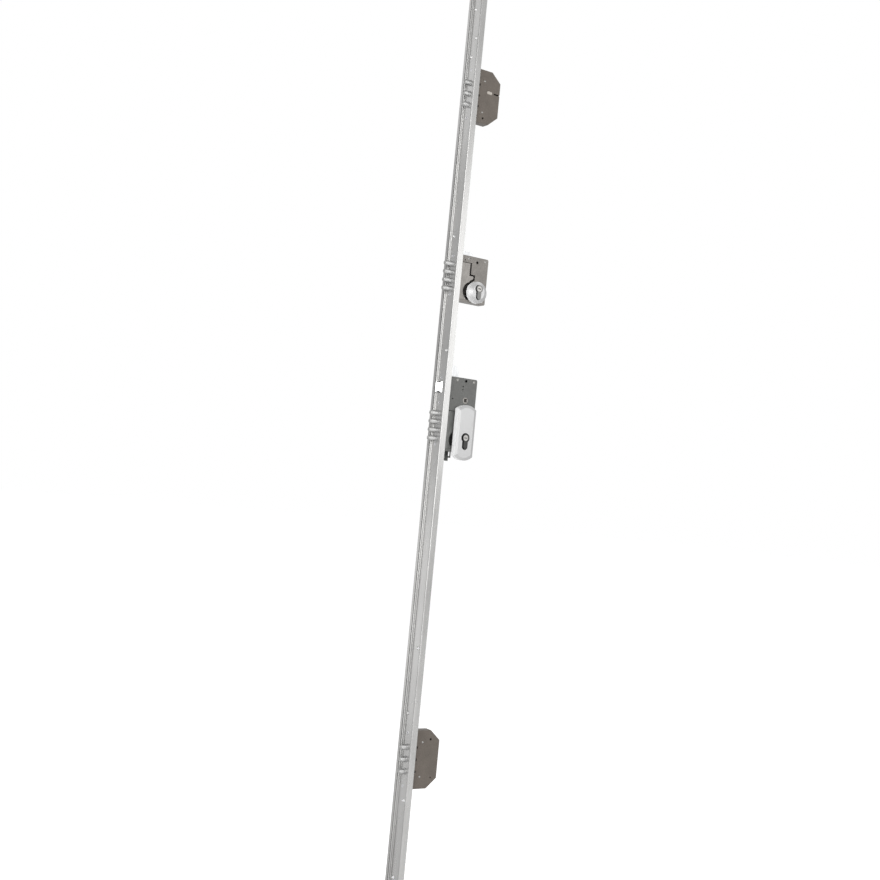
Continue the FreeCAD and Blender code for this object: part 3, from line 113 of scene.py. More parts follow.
def mapped(tree: Tree, value: Socket, source: Span, target: Span) -> Socket:
    """Map a value from one span of numbers to another, held at the ends.

    Args:
        tree: The nodes to add to.
        value: What is mapped.
        source: Span that it comes from.
        target: Span that it goes to.

    Returns:
        The mapped value.
    """
    node = tree.nodes.new("ShaderNodeMapRange")
    node.inputs["From Min"].default_value, node.inputs["From Max"].default_value = source
    node.inputs["To Min"].default_value, node.inputs["To Max"].default_value = target
    tree.links.new(value, node.inputs["Value"])
    return node.outputs["Result"]


def multiplied(tree: Tree, colour: Socket, factor: Socket) -> Socket:
    """Multiply a colour by a factor.

    Args:
        tree: The nodes to add to.
        colour: The colour.
        factor: How many times as light it becomes.

    Returns:
        The new colour.
    """
    node = tree.nodes.new("ShaderNodeMix")
    node.data_type = "RGBA"
    node.blend_type = "MULTIPLY"
    node.inputs["Factor"].default_value = 1.0
    tree.links.new(colour, node.inputs["A"])
    tree.links.new(factor, node.inputs["B"])
    return node.outputs["Result"]


class Grain(Enum):
    """How the marks of making run on a metal surface, as scales along X, Y and Z."""

    DRAWN = (900.0, 900.0, 14.0)
    ROLLED = (260.0, 260.0, 60.0)
    TURNED = (1500.0, 60.0, 60.0)
    BLASTED = (1400.0, 1400.0, 1400.0)
    CAST = (420.0, 420.0, 420.0)


@dataclass(frozen=True)
class MetalFinish:
    """A metal surface: its colour, gloss and the marks that making it leaves.

    Args:
        name: Material name.
        colour: Linear base colour.
        roughness: Mean roughness.
        grain: Direction and size of the marks.
        metallic: Share of metal in the surface.
        contrast: How far the marks lighten and darken the colour.
        relief: Height of the marks, in metres.
        cloud: How far wide, soft patches change the colour.
        cloud_scale: Patches for each metre.
        coat: Clear passivation or lacquer over the metal.
        painted_light_bands: Painted light and painted shade across the sheet, as (place along Y,
            factor).
    """

    name: str
    colour: Colour
    roughness: float
    grain: Grain
    metallic: float = 1.0
    contrast: float = 0.08
    relief: float = 0.000004
    cloud: float = 0.06
    cloud_scale: float = 25.0
    coat: float = 0.0
    painted_light_bands: tuple[tuple[float, float], ...] = ()

    def material(self) -> bpy.types.Material:
        """Make the node material, or find it if it was made before.

        Returns:
            The material.
        """
        made = bpy.data.materials.get(self.name)
        if made is not None:
            return made
        made = bpy.data.materials.new(self.name)
        made.use_nodes = True
        made.diffuse_color = (*self.colour, 1)
        tree = made.node_tree
        shader = tree.nodes["Principled BSDF"]
        shader.inputs["Metallic"].default_value = self.metallic
        shader.inputs["Coat Weight"].default_value = self.coat
        shader.inputs["Coat Roughness"].default_value = COAT_ROUGHNESS
        place = tree.nodes.new("ShaderNodeTexCoord").outputs["Object"]
        marks = self._noise(tree, place, self.grain.value, MARK_DETAIL)
        patches = self._noise(tree, place, (self.cloud_scale,) * 3, PATCH_DETAIL)
        clouds = mapped(tree, patches, NOISE_SPAN, (1 - self.cloud, 1 + self.cloud))
        colour = multiplied(tree, self._marked(tree, marks), clouds)
        # Painted light and painted shade, multiplied into the colour along Y.
        if self.painted_light_bands:
            colour = self._with_painted_light(tree, colour, place)
        tree.links.new(colour, shader.inputs["Base Color"])
        low, high = GLOSS_SPAN
        gloss = mapped(tree, patches, NOISE_SPAN, (self.roughness * low, self.roughness * high))
        tree.links.new(gloss, shader.inputs["Roughness"])
        bump = tree.nodes.new("ShaderNodeBump")
        bump.inputs["Distance"].default_value = self.relief
        bump.inputs["Strength"].default_value = RELIEF_STRENGTH
        tree.links.new(marks, bump.inputs["Height"])
        tree.links.new(bump.outputs["Normal"], shader.inputs["Normal"])
        return made

    def _marked(self, tree: Tree, marks: Socket) -> Socket:
        """Base colour, darker and lighter by turns with the marks.

        Args:
            tree: The material's nodes.
            marks: Noise value of the marks.

        Returns:
            The colour.
        """
        ramp = tree.nodes.new("ShaderNodeValToRGB")
        low, high = ramp.color_ramp.elements
        low.position, high.position = MARK_SPAN
        low.color = (*(part * (1 - self.contrast) for part in self.colour), 1)
        high.color = (*(min(1.0, part * (1 + self.contrast)) for part in self.colour), 1)
        tree.links.new(marks, ramp.inputs["Fac"])
        return ramp.outputs["Color"]

    def _with_painted_light(self, tree: Tree, colour: Socket, place: Socket) -> Socket:
        """Colour with painted light and painted shade laid on band by band across the sheet.

        Args:
            tree: The material's nodes.
            colour: Colour without the painted light and shade.
            place: Place on the object.

        Returns:
            The colour with its bands.
        """
        apart = tree.nodes.new("ShaderNodeSeparateXYZ")
        tree.links.new(place, apart.inputs["Vector"])
        for (low, before), (high, after) in zip(self.painted_light_bands, self.painted_light_bands[1:]):
            step = mapped(tree, apart.outputs["Y"], (low, high), (1.0, after / before))
            colour = multiplied(tree, colour, step)
        return colour

    @staticmethod
    def _noise(tree: Tree, place: Socket, scales: tuple[float, ...], detail: float) -> Socket:
        """Noise stretched by a scale along each axis.

        Args:
            tree: The material's nodes.
            place: Place on the object.
            scales: Scale along X, Y and Z.
            detail: Octaves of the noise.

        Returns:
            The noise value.
        """
        stretch = tree.nodes.new("ShaderNodeMapping")
        stretch.inputs["Scale"].default_value = scales
        noise = tree.nodes.new("ShaderNodeTexNoise")
        noise.inputs["Scale"].default_value = 1.0
        noise.inputs["Detail"].default_value = detail
        tree.links.new(place, stretch.inputs["Vector"])
        tree.links.new(stretch.outputs["Vector"], noise.inputs["Vector"])
        return noise.outputs["Fac"]


# Painted light and painted shade on the forend's zinc from its bend to the far edge, as (place along Y,
# factor): a painted highlight on the bend, painted shade beside it and across the face, a painted
# highlight on the near land, painted light in the groove, painted shade on the far land.
BEND_PAINTED_LIGHT = ((-0.0178, 1.23), (-0.0172, 0.92), (-0.016, 0.78), (-0.0148, 0.86), (-0.013, 0.93))
FACE_PAINTED_SHADE = ((0.0, 0.96), (0.0125, 1.0))
NEAR_LAND_PAINTED_HIGHLIGHT = ((0.0135, 1.25), (0.0152, 1.25))
GROOVE_PAINTED_LIGHT = ((0.0162, 1.4), (0.0195, 1.4))
FAR_LAND_PAINTED_SHADE = ((0.021, 0.85),)

# Galvanised zinc of the forend, carrying the painted light and shade above.
GALVANISED_WITH_PAINTED_LIGHT = MetalFinish("galvanised_forend_with_painted_light", (0.403, 0.40, 0.394), 0.26, Grain.DRAWN, metallic=0.7,
                         contrast=0.07, relief=0.000006, cloud=0.07, cloud_scale=7.0,
                         painted_light_bands=BEND_PAINTED_LIGHT + FACE_PAINTED_SHADE + NEAR_LAND_PAINTED_HIGHLIGHT + GROOVE_PAINTED_LIGHT + FAR_LAND_PAINTED_SHADE)
CASE_PLATE = MetalFinish("zinc_case_plate", (0.103, 0.104, 0.100), 0.46, Grain.CAST, metallic=0.65,
                         contrast=0.12, relief=0.00001, cloud=0.14, cloud_scale=38.0)
WARM_CASE = MetalFinish("warm_zinc_case", (0.159, 0.150, 0.139), 0.44, Grain.CAST, metallic=0.65,
                        contrast=0.18, relief=0.000012, cloud=0.18, cloud_scale=60.0)
OUTER_CASE = MetalFinish("dark_zinc_case", (0.119, 0.103, 0.089), 0.5, Grain.CAST, metallic=0.6,
                         contrast=0.1, relief=0.00001, cloud=0.12, cloud_scale=30.0)
DARK_CARRIAGE = MetalFinish("blackened_carriage", (0.125, 0.127, 0.122), 0.42, Grain.ROLLED,
                            metallic=0.7, contrast=0.14, relief=0.00001, cloud=0.12, cloud_scale=45.0)
MECHANISM = MetalFinish("mechanism_plate", (0.212, 0.202, 0.190), 0.42, Grain.ROLLED, metallic=0.75,
                        contrast=0.14, relief=0.00001, cloud=0.12, cloud_scale=45.0)
TURNED_STEEL = MetalFinish("turned_steel_bolt", (0.45, 0.45, 0.445), 0.36, Grain.TURNED,
                           contrast=0.1, cloud_scale=40.0)
# Darker copy of the bolt steel for the tips: painted shade.
BOLT_END_PAINTED_SHADE = MetalFinish("bolt_end_painted_shade", (0.285, 0.285, 0.28), 0.4, Grain.BLASTED)
COLLAR_STEEL = MetalFinish("turned_collar_steel", (0.38, 0.38, 0.38), 0.32, Grain.TURNED,
                           contrast=0.1, cloud_scale=40.0)
BRIGHT_NICKEL = MetalFinish("satin_nickel_latch", (0.90, 0.90, 0.89), 0.3, Grain.BLASTED,
                            contrast=0.04, cloud=0.03)
DULL_NICKEL = MetalFinish("dull_nickel_guide", (0.40, 0.37, 0.335), 0.42, Grain.BLASTED,
                          metallic=0.4, cloud=0.08)
# Black for painted shade and shadow: the countersink round a key cylinder and the latch's grooves.
PAINTED_SHADE_BLACK = MetalFinish("recess_painted_shade", (0.05, 0.05, 0.05), 0.5, Grain.BLASTED,
                           metallic=0.3, contrast=0.1, cloud=0.05)
# Pale copy of the satin trim for its outer sides: painted light.
PAINTED_LIGHT_SIDE = MetalFinish("satin_side_painted_light", (0.88, 0.88, 0.88), 0.4, Grain.BLASTED,
                        metallic=0.0, contrast=0.04, cloud=0.03)
SATIN_CHROME = MetalFinish("satin_chrome_trim", (0.41, 0.41, 0.41), 0.36, Grain.BLASTED,
                           metallic=0.45, contrast=0.05, cloud=0.03, coat=0.1)
CYLINDER_SATIN = MetalFinish("satin_nickel_cylinder", (0.12, 0.12, 0.117), 0.36, Grain.BLASTED,
                             cloud=0.05)
DARK_CYLINDER = MetalFinish("blackened_cylinder", (0.045, 0.045, 0.044), 0.36, Grain.BLASTED,
                            cloud=0.05)
RIVET_ZINC = MetalFinish("zinc_rivet", (0.25, 0.245, 0.235), 0.38, Grain.BLASTED)
NICKEL_BRASS = MetalFinish("nickel_plated_brass", (0.27, 0.265, 0.255), 0.28, Grain.TURNED,
                           contrast=0.06, relief=0.000003, cloud=0.05)
ROD_ZINC = MetalFinish("bright_zinc_strip", (0.46, 0.465, 0.47), 0.36, Grain.ROLLED,
                       contrast=0.1, relief=0.000006, cloud=0.08)
SCREW_ZINC = MetalFinish("zinc_screw", (0.42, 0.42, 0.43), 0.34, Grain.BLASTED)
SPRING_WIRE = MetalFinish("spring_wire", (0.40, 0.40, 0.41), 0.3, Grain.BLASTED,
                          relief=0.000003, cloud=0.1)


def welded(node: str) -> Shape:
    """Copy the mesh of a CAD node and join its faces at their edges.

    Args:
        node: CAD node.

    Returns:
        The copy.
    """
    shape = bmesh.new()
    shape.from_mesh(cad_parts[node].data)
    bmesh.ops.remove_doubles(shape, verts=shape.verts, dist=WELD)
    return shape


def finished(name: str, shape: Shape, finish: MetalFinish, body: str,
             nodes: tuple[str, ...] = ()) -> bpy.types.Object:
    """Turn a mesh into a piece of the lock.

    Args:
        name: Piece name.
        shape: The mesh, in place and in metres. It is freed.
        finish: Its surface.
        body: The body it moves with.
        nodes: CAD nodes that it stands for.

    Returns:
        The piece.
    """
    bmesh.ops.recalc_face_normals(shape, faces=shape.faces)
    for face in shape.faces:
        face.smooth = True
    for edge in shape.edges:
        edge.smooth = len(edge.link_faces) == 2 and edge.calc_face_angle(math.pi) < CREASE
    data = bpy.data.meshes.new(name)
    shape.to_mesh(data)
    shape.free()
    piece = bpy.data.objects.new(name, data)
    bpy.context.scene.collection.objects.link(piece)
    data.materials.append(finish.material())
    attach(piece, body)
    if nodes:
        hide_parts(*nodes)
    log.info("%s: %d faces on %s", name, len(data.polygons), body)
    return piece


def eased_copy(node: str, finish: MetalFinish, body: str, ease: float = 0.25 * MM,
               segments: int = 2) -> bpy.types.Object:
    """Copy a CAD node under its own name and ease its edges as deburring does.

    Args:
        node: CAD node to copy and stand for.
        finish: Its surface.
        body: The body it moves with.
        ease: Width of the eased edge.
        segments: Steps across it.

    Returns:
        The piece.
    """
    shape = welded(node)
    bmesh.ops.dissolve_limit(shape, angle_limit=FLAT, verts=shape.verts, edges=shape.edges)
    piece = finished(node, shape, finish, body, (node,))
    edge = piece.modifiers.new("eased edges", "BEVEL")
    edge.width = ease
    edge.segments = segments
    edge.limit_method = "ANGLE"
    edge.angle_limit = EASED
    edge.harden_normals = True
    return piece


def lathe(shape: Shape, profile: Profile, start: Vector, axis: Vector, steps: int) -> None:
    """Add a turned form to a mesh.

    Args:
        shape: Mesh to add to.
        profile: Points as (distance along the axis, radius), from end to end.
        start: Where the distance along the axis is 0.
        axis: Direction of the axis.
        steps: Steps round the axis.
    """
    side = axis.orthogonal().normalized()
    points = [shape.verts.new(start + axis * along + side * radius) for along, radius in profile]
    edges = [shape.edges.new(pair) for pair in zip(points, points[1:])]
    made = bmesh.ops.spin(shape, geom=points + edges, cent=start, axis=axis, angle=2 * math.pi,
                          steps=steps, use_merge=True)
    loose = [item for item in made["geom_last"] if isinstance(item, bmesh.types.BMVert)]
    verts = {vert for vert in points + loose if vert.is_valid}
    ring = {vert for face in shape.faces for vert in face.verts}
    bmesh.ops.remove_doubles(shape, verts=list(verts | ring), dist=LATHE_WELD)


def arc(centre: tuple[float, float], radius: float, first: float, last: float,
        steps: int) -> Profile:
    """Points of an arc for a lathe profile.

    Args:
        centre: Its centre, as (distance, radius).
        radius: Its own radius.
        first: Angle of its first point, in degrees from the axis.
        last: Angle of its last point.
        steps: Steps along it.

    Returns:
        Points as (distance, radius).
    """
    turns = [math.radians(first + (last - first) * step / steps) for step in range(steps + 1)]
    return [(centre[0] + radius * math.cos(turn), centre[1] + radius * math.sin(turn))
            for turn in turns]


def dome(base: float, radius: float, crown: float, steps: int) -> Profile:
    """Points of a domed head for a lathe profile, from its rim to its top.

    Args:
        base: Distance along the axis where the rim lies.
        radius: Radius of the rim.
        crown: Height of the dome.
        steps: Steps from rim to top.

    Returns:
        Points as (distance, radius).
    """
    ball = (radius ** 2 + crown ** 2) / (2 * crown)
    reach = math.degrees(math.asin(radius / ball))
    return arc((base + crown - ball, 0), ball, reach, 0, steps)[:-1] + [(base + crown, 0)]


def islands(node: str) -> list[Box]:
    """Boxes of the separate solids of a CAD node.

    Args:
        node: CAD node.

    Returns:
        Lowest and highest corner of each solid, from the lowest solid up.
    """
    shape = welded(node)
    waiting = set(shape.verts)
    boxes = []
    while waiting:
        front = [waiting.pop()]
        found = list(front)
        while front:
            vert = front.pop()
            near = {edge.other_vert(vert) for edge in vert.link_edges} & waiting
            waiting -= near
            front += near
            found += near
        axes = list(zip(*(vert.co for vert in found)))
        boxes.append((Vector(map(min, axes)), Vector(map(max, axes))))
    shape.free()
    return sorted(boxes, key=lambda box: box[0].z)


def middle(box: Box) -> Vector:
    """Centre of a box."""
    return (box[0] + box[1]) / 2


@dataclass
class Bolts:
    """A row of turned bolts that one carriage throws.

    Args:
        name: The row's CAD node.
        body: The carriage's body.
        chamfer: Bevel of the tip.
        spigot: Radius of the end that sits in the carriage.
        seat: Length of that end.
        centre: Radius of the lathe centre's dimple in the tip.
        dish: Radius of the shallow dish round the dimple.
        dish_depth: Depth of the dish.
        ease: Eased edges.
        steps: Steps round a bolt.
    """

    name: str
    body: str
    chamfer: float = 2.0 * MM
    spigot: float = 3.5 * MM
    seat: float = 6.0 * MM
    centre: float = 1.5 * MM
    dish: float = 3.3 * MM
    dish_depth: float = 0.15 * MM
    ease: float = 0.3 * MM
    steps: int = 56

    def profile(self, length: float, radius: float) -> Profile:
        """Outline of a bolt from its spigot to its tip.

        Args:
            length: Whole length of the bolt.
            radius: Radius of its body.

        Returns:
            Points as (distance, radius).
        """
        ease, slope = self.ease, self.chamfer - self.ease
        shoulder = length - self.chamfer
        floor = length - self.dish_depth
        return [
            (0, 0), (0, self.spigot - ease), (ease, self.spigot), (self.seat, self.spigot),
            (self.seat, radius - ease), (self.seat + ease, radius),
            (shoulder - ease, radius), (shoulder + ease / 2, radius - ease / 2),
            (length - ease / 2, radius - slope), (length, radius - self.chamfer - ease),
            (length, self.dish), (floor, self.dish - ease), (floor, self.centre),
            (floor - self.centre, 0),
        ]

    def build(self) -> bpy.types.Object:
        """Turn all the bolts of the row as one piece, with painted shade on their bevelled tips and
        ends.

        Returns:
            The piece.
        """
        shape = bmesh.new()
        for low, high in islands(self.name):
            place = middle((low, high))
            start = Vector((high.x, place.y, place.z))
            lathe(shape, self.profile(high.x - low.x, (high.z - low.z) / 2), start, -ALONG_X,
                  self.steps)
        piece = finished(self.name, shape, TURNED_STEEL, self.body, (self.name,))
        # Painted shade on the tips and end faces.
        piece.data.materials.append(BOLT_END_PAINTED_SHADE.material())
        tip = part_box(self.name)[0].x
        for side in piece.data.polygons:
            if side.center.x < tip + self.chamfer + self.ease / 2:
                side.material_index = SECOND_FINISH
        return piece


@dataclass
class CrossScrews:
    """Countersunk screws that point along X, with a cross recess in each head.

    Args:
        name: CAD node of the screws.
        shank: Radius of a shank.
        set_back: How far the face of a head lies behind the front of the node.
        rim: Eased rim of the head.
        rim_depth: How far that rim reaches down.
        point: Bevel of the other end.
        wing: Reach of the cross, as a share of the head's radius.
        half: Half the width of its arms, as such a share.
        sunk: Its depth, as such a share.
        taper: Size of its floor, as a share of its mouth.
        steps: Steps round a screw.
    """

    name: str
    shank: float = 2.5 * MM
    set_back: float = 0.02 * MM
    rim: float = 0.1 * MM
    rim_depth: float = 0.15 * MM
    point: float = 0.8 * MM
    wing: float = 0.52
    half: float = 0.13
    sunk: float = 0.4
    taper: float = 0.7
    steps: int = 40

    def turn(self, shape: Shape, box: Box) -> tuple[Vector, float]:
        """Add one screw, whose face is left open.

        Args:
            shape: Mesh to add to.
            box: Box of the screw.

        Returns:
            Middle of the open face, and the head's radius.
        """
        place = middle(box)
        start = Vector((box[0].x, place.y, place.z))
        length, head = box[1].x - box[0].x, (box[1].z - box[0].z) / 2
        outline = [(self.set_back, head - self.rim), (self.rim_depth, head),
                   (head - self.shank, self.shank), (length - self.point, self.shank),
                   (length, self.shank - self.point), (length, 0)]
        lathe(shape, outline, start, ALONG_X, self.steps)
        return start + ALONG_X * self.set_back, head

    def cross(self, shape: Shape, mouth: list[bmesh.types.BMEdge], face: Vector,
              head: float) -> None:
        """Close the open face of a screw round a cross recess.

        Args:
            shape: Mesh to add to.
            mouth: Edges round the open face.
            face: Middle of the face.
            head: Radius of the head.
        """
        wing, half = head * self.wing, head * self.half
        quarter = [Vector((0, wing, half)), Vector((0, half, half)), Vector((0, half, wing))]
        ring = []
        for turn in range(4):
            spin = Matrix.Rotation(math.pi / 2 * turn, 3, ALONG_X)
            ring += [shape.verts.new(face + spin @ corner) for corner in quarter]
        edges = [shape.edges.new(pair) for pair in zip(ring, ring[1:] + ring[:1])]
        bmesh.ops.triangle_fill(shape, use_beauty=True, use_dissolve=False, edges=mouth + edges,
                                normal=-ALONG_X)
        wall = bmesh.ops.extrude_edge_only(shape, edges=edges)["geom"]
        foot = [item for item in wall if isinstance(item, bmesh.types.BMVert)]
        bottom = [item for item in wall if isinstance(item, bmesh.types.BMEdge)
                  and all(vert in foot for vert in item.verts)]
        down = (Matrix.Translation(face + ALONG_X * head * self.sunk) @ Matrix.Scale(self.taper, 4)
                @ Matrix.Translation(-face))
        bmesh.ops.transform(shape, matrix=down, verts=foot)
        bmesh.ops.triangle_fill(shape, use_beauty=True, use_dissolve=False, edges=bottom,
                                normal=-ALONG_X)

    def build(self) -> bpy.types.Object:
        """Make all the screws of the node as one piece.

        Returns:
            The piece.
        """
        shape = bmesh.new()
        for box in islands(self.name):
            known = set(shape.edges)
            face, head = self.turn(shape, box)
            mouth = [edge for edge in shape.edges
                     if edge not in known and len(edge.link_faces) == 1]
            self.cross(shape, mouth, face, head)
        return finished(self.name, shape, SCREW_ZINC, "forend", (self.name,))


@dataclass
class Forend:
    """Folded profile with the collars of the bolts and the screws of the cases.

    Args:
        ease: Eased edge of the cut sheet.
        sleeve: Outside radius of a collar's sleeve.
        bore: Radius of its bore.
        mouth: Bevel of that bore at its mouth.
        lip: Thickness of its flange.
        corner: Rounding of the flange.
        corner_steps: Steps across the rounding.
        steps: Steps round a collar.
    """

    ease: float = 0.3 * MM
    sleeve: float = 7.0 * MM
    bore: float = 6.05 * MM
    mouth: float = 0.35 * MM
    lip: float = 1.5 * MM
    corner: float = 0.6 * MM
    corner_steps: int = 4
    steps: int = 56

    def profile(self) -> bpy.types.Object:
        """The folded sheet."""
        return eased_copy("forend_profile", GALVANISED_WITH_PAINTED_LIGHT, "forend", self.ease)

    def collars(self) -> bpy.types.Object:
        """Guide collars with a rounded flange and a bevelled mouth.

        Returns:
            The collars as one piece.
        """
        shape = bmesh.new()
        for low, high in islands("bolt_collars"):
            place = middle((low, high))
            length, radius = high.x - low.x, (high.z - low.z) / 2
            root = length - self.lip
            outline = [(0, self.bore), (0, self.sleeve), (root, self.sleeve), (root, radius)]
            outline += arc((length - self.corner, radius - self.corner), self.corner, 90, 0,
                           self.corner_steps)
            outline += [(length, self.bore + self.mouth), (length - self.mouth, self.bore),
                        (0, self.bore)]
            lathe(shape, outline, Vector((high.x, place.y, place.z)), -ALONG_X, self.steps)
        return finished("bolt_collars", shape, COLLAR_STEEL, "forend", ("bolt_collars",))

    def build(self) -> list[bpy.types.Object]:
        """Make the profile, the collars and the screws that hold the cases."""
        return [self.profile(), self.collars(), CrossScrews("case_fixing_screws").build()]


@dataclass
class LockCase:
    """One riveted steel case: tray, cover and the rivets that join them.

    Args:
        name: First word of its CAD nodes.
        finish: Surface of its plates.
        guide: Whether a guide block stands in it.
        head: Radius of the rivet heads that show.
        head_steps: Steps from rim to top of a head.
        shank: Radius of a rivet's shank.
        dimple: Radius of the dimple in a flush rivet.
        dimple_depth: Its depth.
        steps: Steps round a rivet.
        ease: Eased edge of its plates.
        guide_ease: Eased edge of the guide block.
        face: Where the cover's outer face lies.
    """

    name: str
    finish: MetalFinish
    guide: bool = False
    head: float = 3.3 * MM
    head_steps: int = 7
    shank: float = 1.8 * MM
    dimple: float = 1.08 * MM
    dimple_depth: float = 0.2 * MM
    steps: int = 32
    ease: float = 0.35 * MM
    guide_ease: float = 0.4 * MM
    face: float = -10.0 * MM

    def shells(self) -> list[bpy.types.Object]:
        """The tray and its cover, with eased edges."""
        return [eased_copy(f"{self.name}_case_{half}", self.finish, "forend", self.ease)
                for half in ("tray", "cover")]

    def rivets(self) -> bpy.types.Object:
        """Rivets with domed heads, and flush ones where the trim covers them.

        Returns:
            The rivets as one piece.
        """
        node = f"{self.name}_cover_rivets"
        shape = bmesh.new()
        for low, high in islands(node):
            place = middle((low, high))
            crown, end = self.face - low.y, high.y - self.face
            outline = [(0, 0), (0, self.shank), (end, self.shank)]
            if crown > LEVEL:
                outline += dome(end, self.head, crown, self.head_steps)
            else:
                outline += [(end, self.dimple), (end - self.dimple_depth, 0)]
            lathe(shape, outline, Vector((place.x, high.y, place.z)), -ALONG_Y, self.steps)
        return finished(node, shape, RIVET_ZINC, "forend", (node,))

    def build(self) -> list[bpy.types.Object]:
        """Make the whole case.

        Returns:
            Its pieces.
        """
        made = self.shells() + [self.rivets()]
        if self.guide:
            made.append(eased_copy(f"{self.name}_guide_block", DULL_NICKEL, "forend",
                                   self.guide_ease, segments=3))
        return made


@dataclass
class Carriage:
    """Carriage that throws a row of bolts, with its pins.

    Args:
        name: First word of its CAD node.
        body: Its body.
        finish: Surface of its plates.
        pins: CAD nodes of its pins.
        bevel: Bevel of a pin's ends.
        steps: Steps round a pin.
    """

    name: str
    body: str
    finish: MetalFinish
    pins: tuple[str, ...] = ()
    bevel: float = 0.5 * MM
    steps: int = 48

    def pin(self, node: str) -> bpy.types.Object:
        """Turn a hardened pin with bevelled ends.

        Args:
            node: CAD node of the pin.

        Returns:
            The pin.
        """
        low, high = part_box(node)
        length, radius = high.y - low.y, (high.z - low.z) / 2
        outline = [(0, 0), (0, radius - self.bevel), (self.bevel, radius),
                   (length - self.bevel, radius), (length, radius - self.bevel), (length, 0)]
        place = middle((low, high))
        shape = bmesh.new()
        lathe(shape, outline, Vector((place.x, low.y, place.z)), ALONG_Y, self.steps)
        return finished(node, shape, TURNED_STEEL, self.body, (node,))

    def build(self) -> list[bpy.types.Object]:
        """Make the carriage and its pins."""
        plate = eased_copy(f"{self.name}_bolt_carriage", self.finish, self.body)
        return [plate] + [self.pin(node) for node in self.pins]


@dataclass
class RodTrain:
    """Rod that carries the main carriage's travel to an outer case.

    Args:
        name: First word of its CAD nodes.
        body: Its body.
        drive: Surface of its drive plate.
        rivet: Radius of the rivet heads on its joints.
        crown: Height of those heads.
        crown_steps: Steps from rim to top of a head.
        rooted: How far the heads reach into the strip.
        spread: From the middle of a joint to each rivet.
        steps: Steps round a head.
        clip_ease: Eased edge of the clips that it runs in.
    """

    name: str
    body: str
    drive: MetalFinish
    rivet: float = 2.3 * MM
    crown: float = 0.8 * MM
    crown_steps: int = 6
    rooted: float = 0.3 * MM
    spread: float = 10.0 * MM
    steps: int = 28
    clip_ease: float = 0.2 * MM

    def link_rivets(self) -> bpy.types.Object:
        """Domed heads on the strips that lap the rod's joints.

        Returns:
            The heads as one piece.
        """
        outline = [(0, 0), (0, self.rivet)]
        outline += dome(self.rooted, self.rivet, self.crown, self.crown_steps)
        shape = bmesh.new()
        for low, high in islands(f"{self.name}_rod_links"):
            place = middle((low, high))
            for way in (-1, 1):
                seat = Vector((place.x, high.y - self.rooted, place.z + way * self.spread))
                lathe(shape, outline, seat, ALONG_Y, self.steps)
        return finished(f"{self.name}_rod_rivets", shape, SCREW_ZINC, self.body)

    def build(self) -> list[bpy.types.Object]:
        """Make the rod, its plates, its joints and the clips that it runs in.

        Returns:
            Its pieces.
        """
        made = [eased_copy(f"{self.name}_drive_plate", self.drive, self.body)]
        for part in ("rod_bar", "rod_links", "cam_plate"):
            made.append(eased_copy(f"{self.name}_{part}", ROD_ZINC, self.body))
        made.append(eased_copy(f"{self.name}_rod_clips", ROD_ZINC, "forend",
                               self.clip_ease))
        return made + [self.link_rivets()]


@dataclass
class KeyCylinder:
    """Profile cylinder: housing, its two plugs, the cam and the long fixing screw.

    Args:
        name: First word of its CAD nodes.
        key_body: Body that the key turns.
        finish: Surface of its housing.
        ease: Eased edge of its housing.
        key_ease: Eased edge of what the key turns.
    """

    name: str
    key_body: str
    finish: MetalFinish
    ease: float = 0.35 * MM
    key_ease: float = 0.3 * MM

    def build(self) -> list[bpy.types.Object]:
        """Make the cylinder.

        Returns:
            Its pieces.
        """
        node = f"{self.name}_cylinder_"
        return [
            eased_copy(node + "body", self.finish, "forend", self.ease),
            eased_copy(node + "plugs", NICKEL_BRASS, self.key_body, self.key_ease),
            eased_copy(node + "cam", MECHANISM, self.key_body, self.key_ease),
            CrossScrews(node + "screw").build(),
        ]


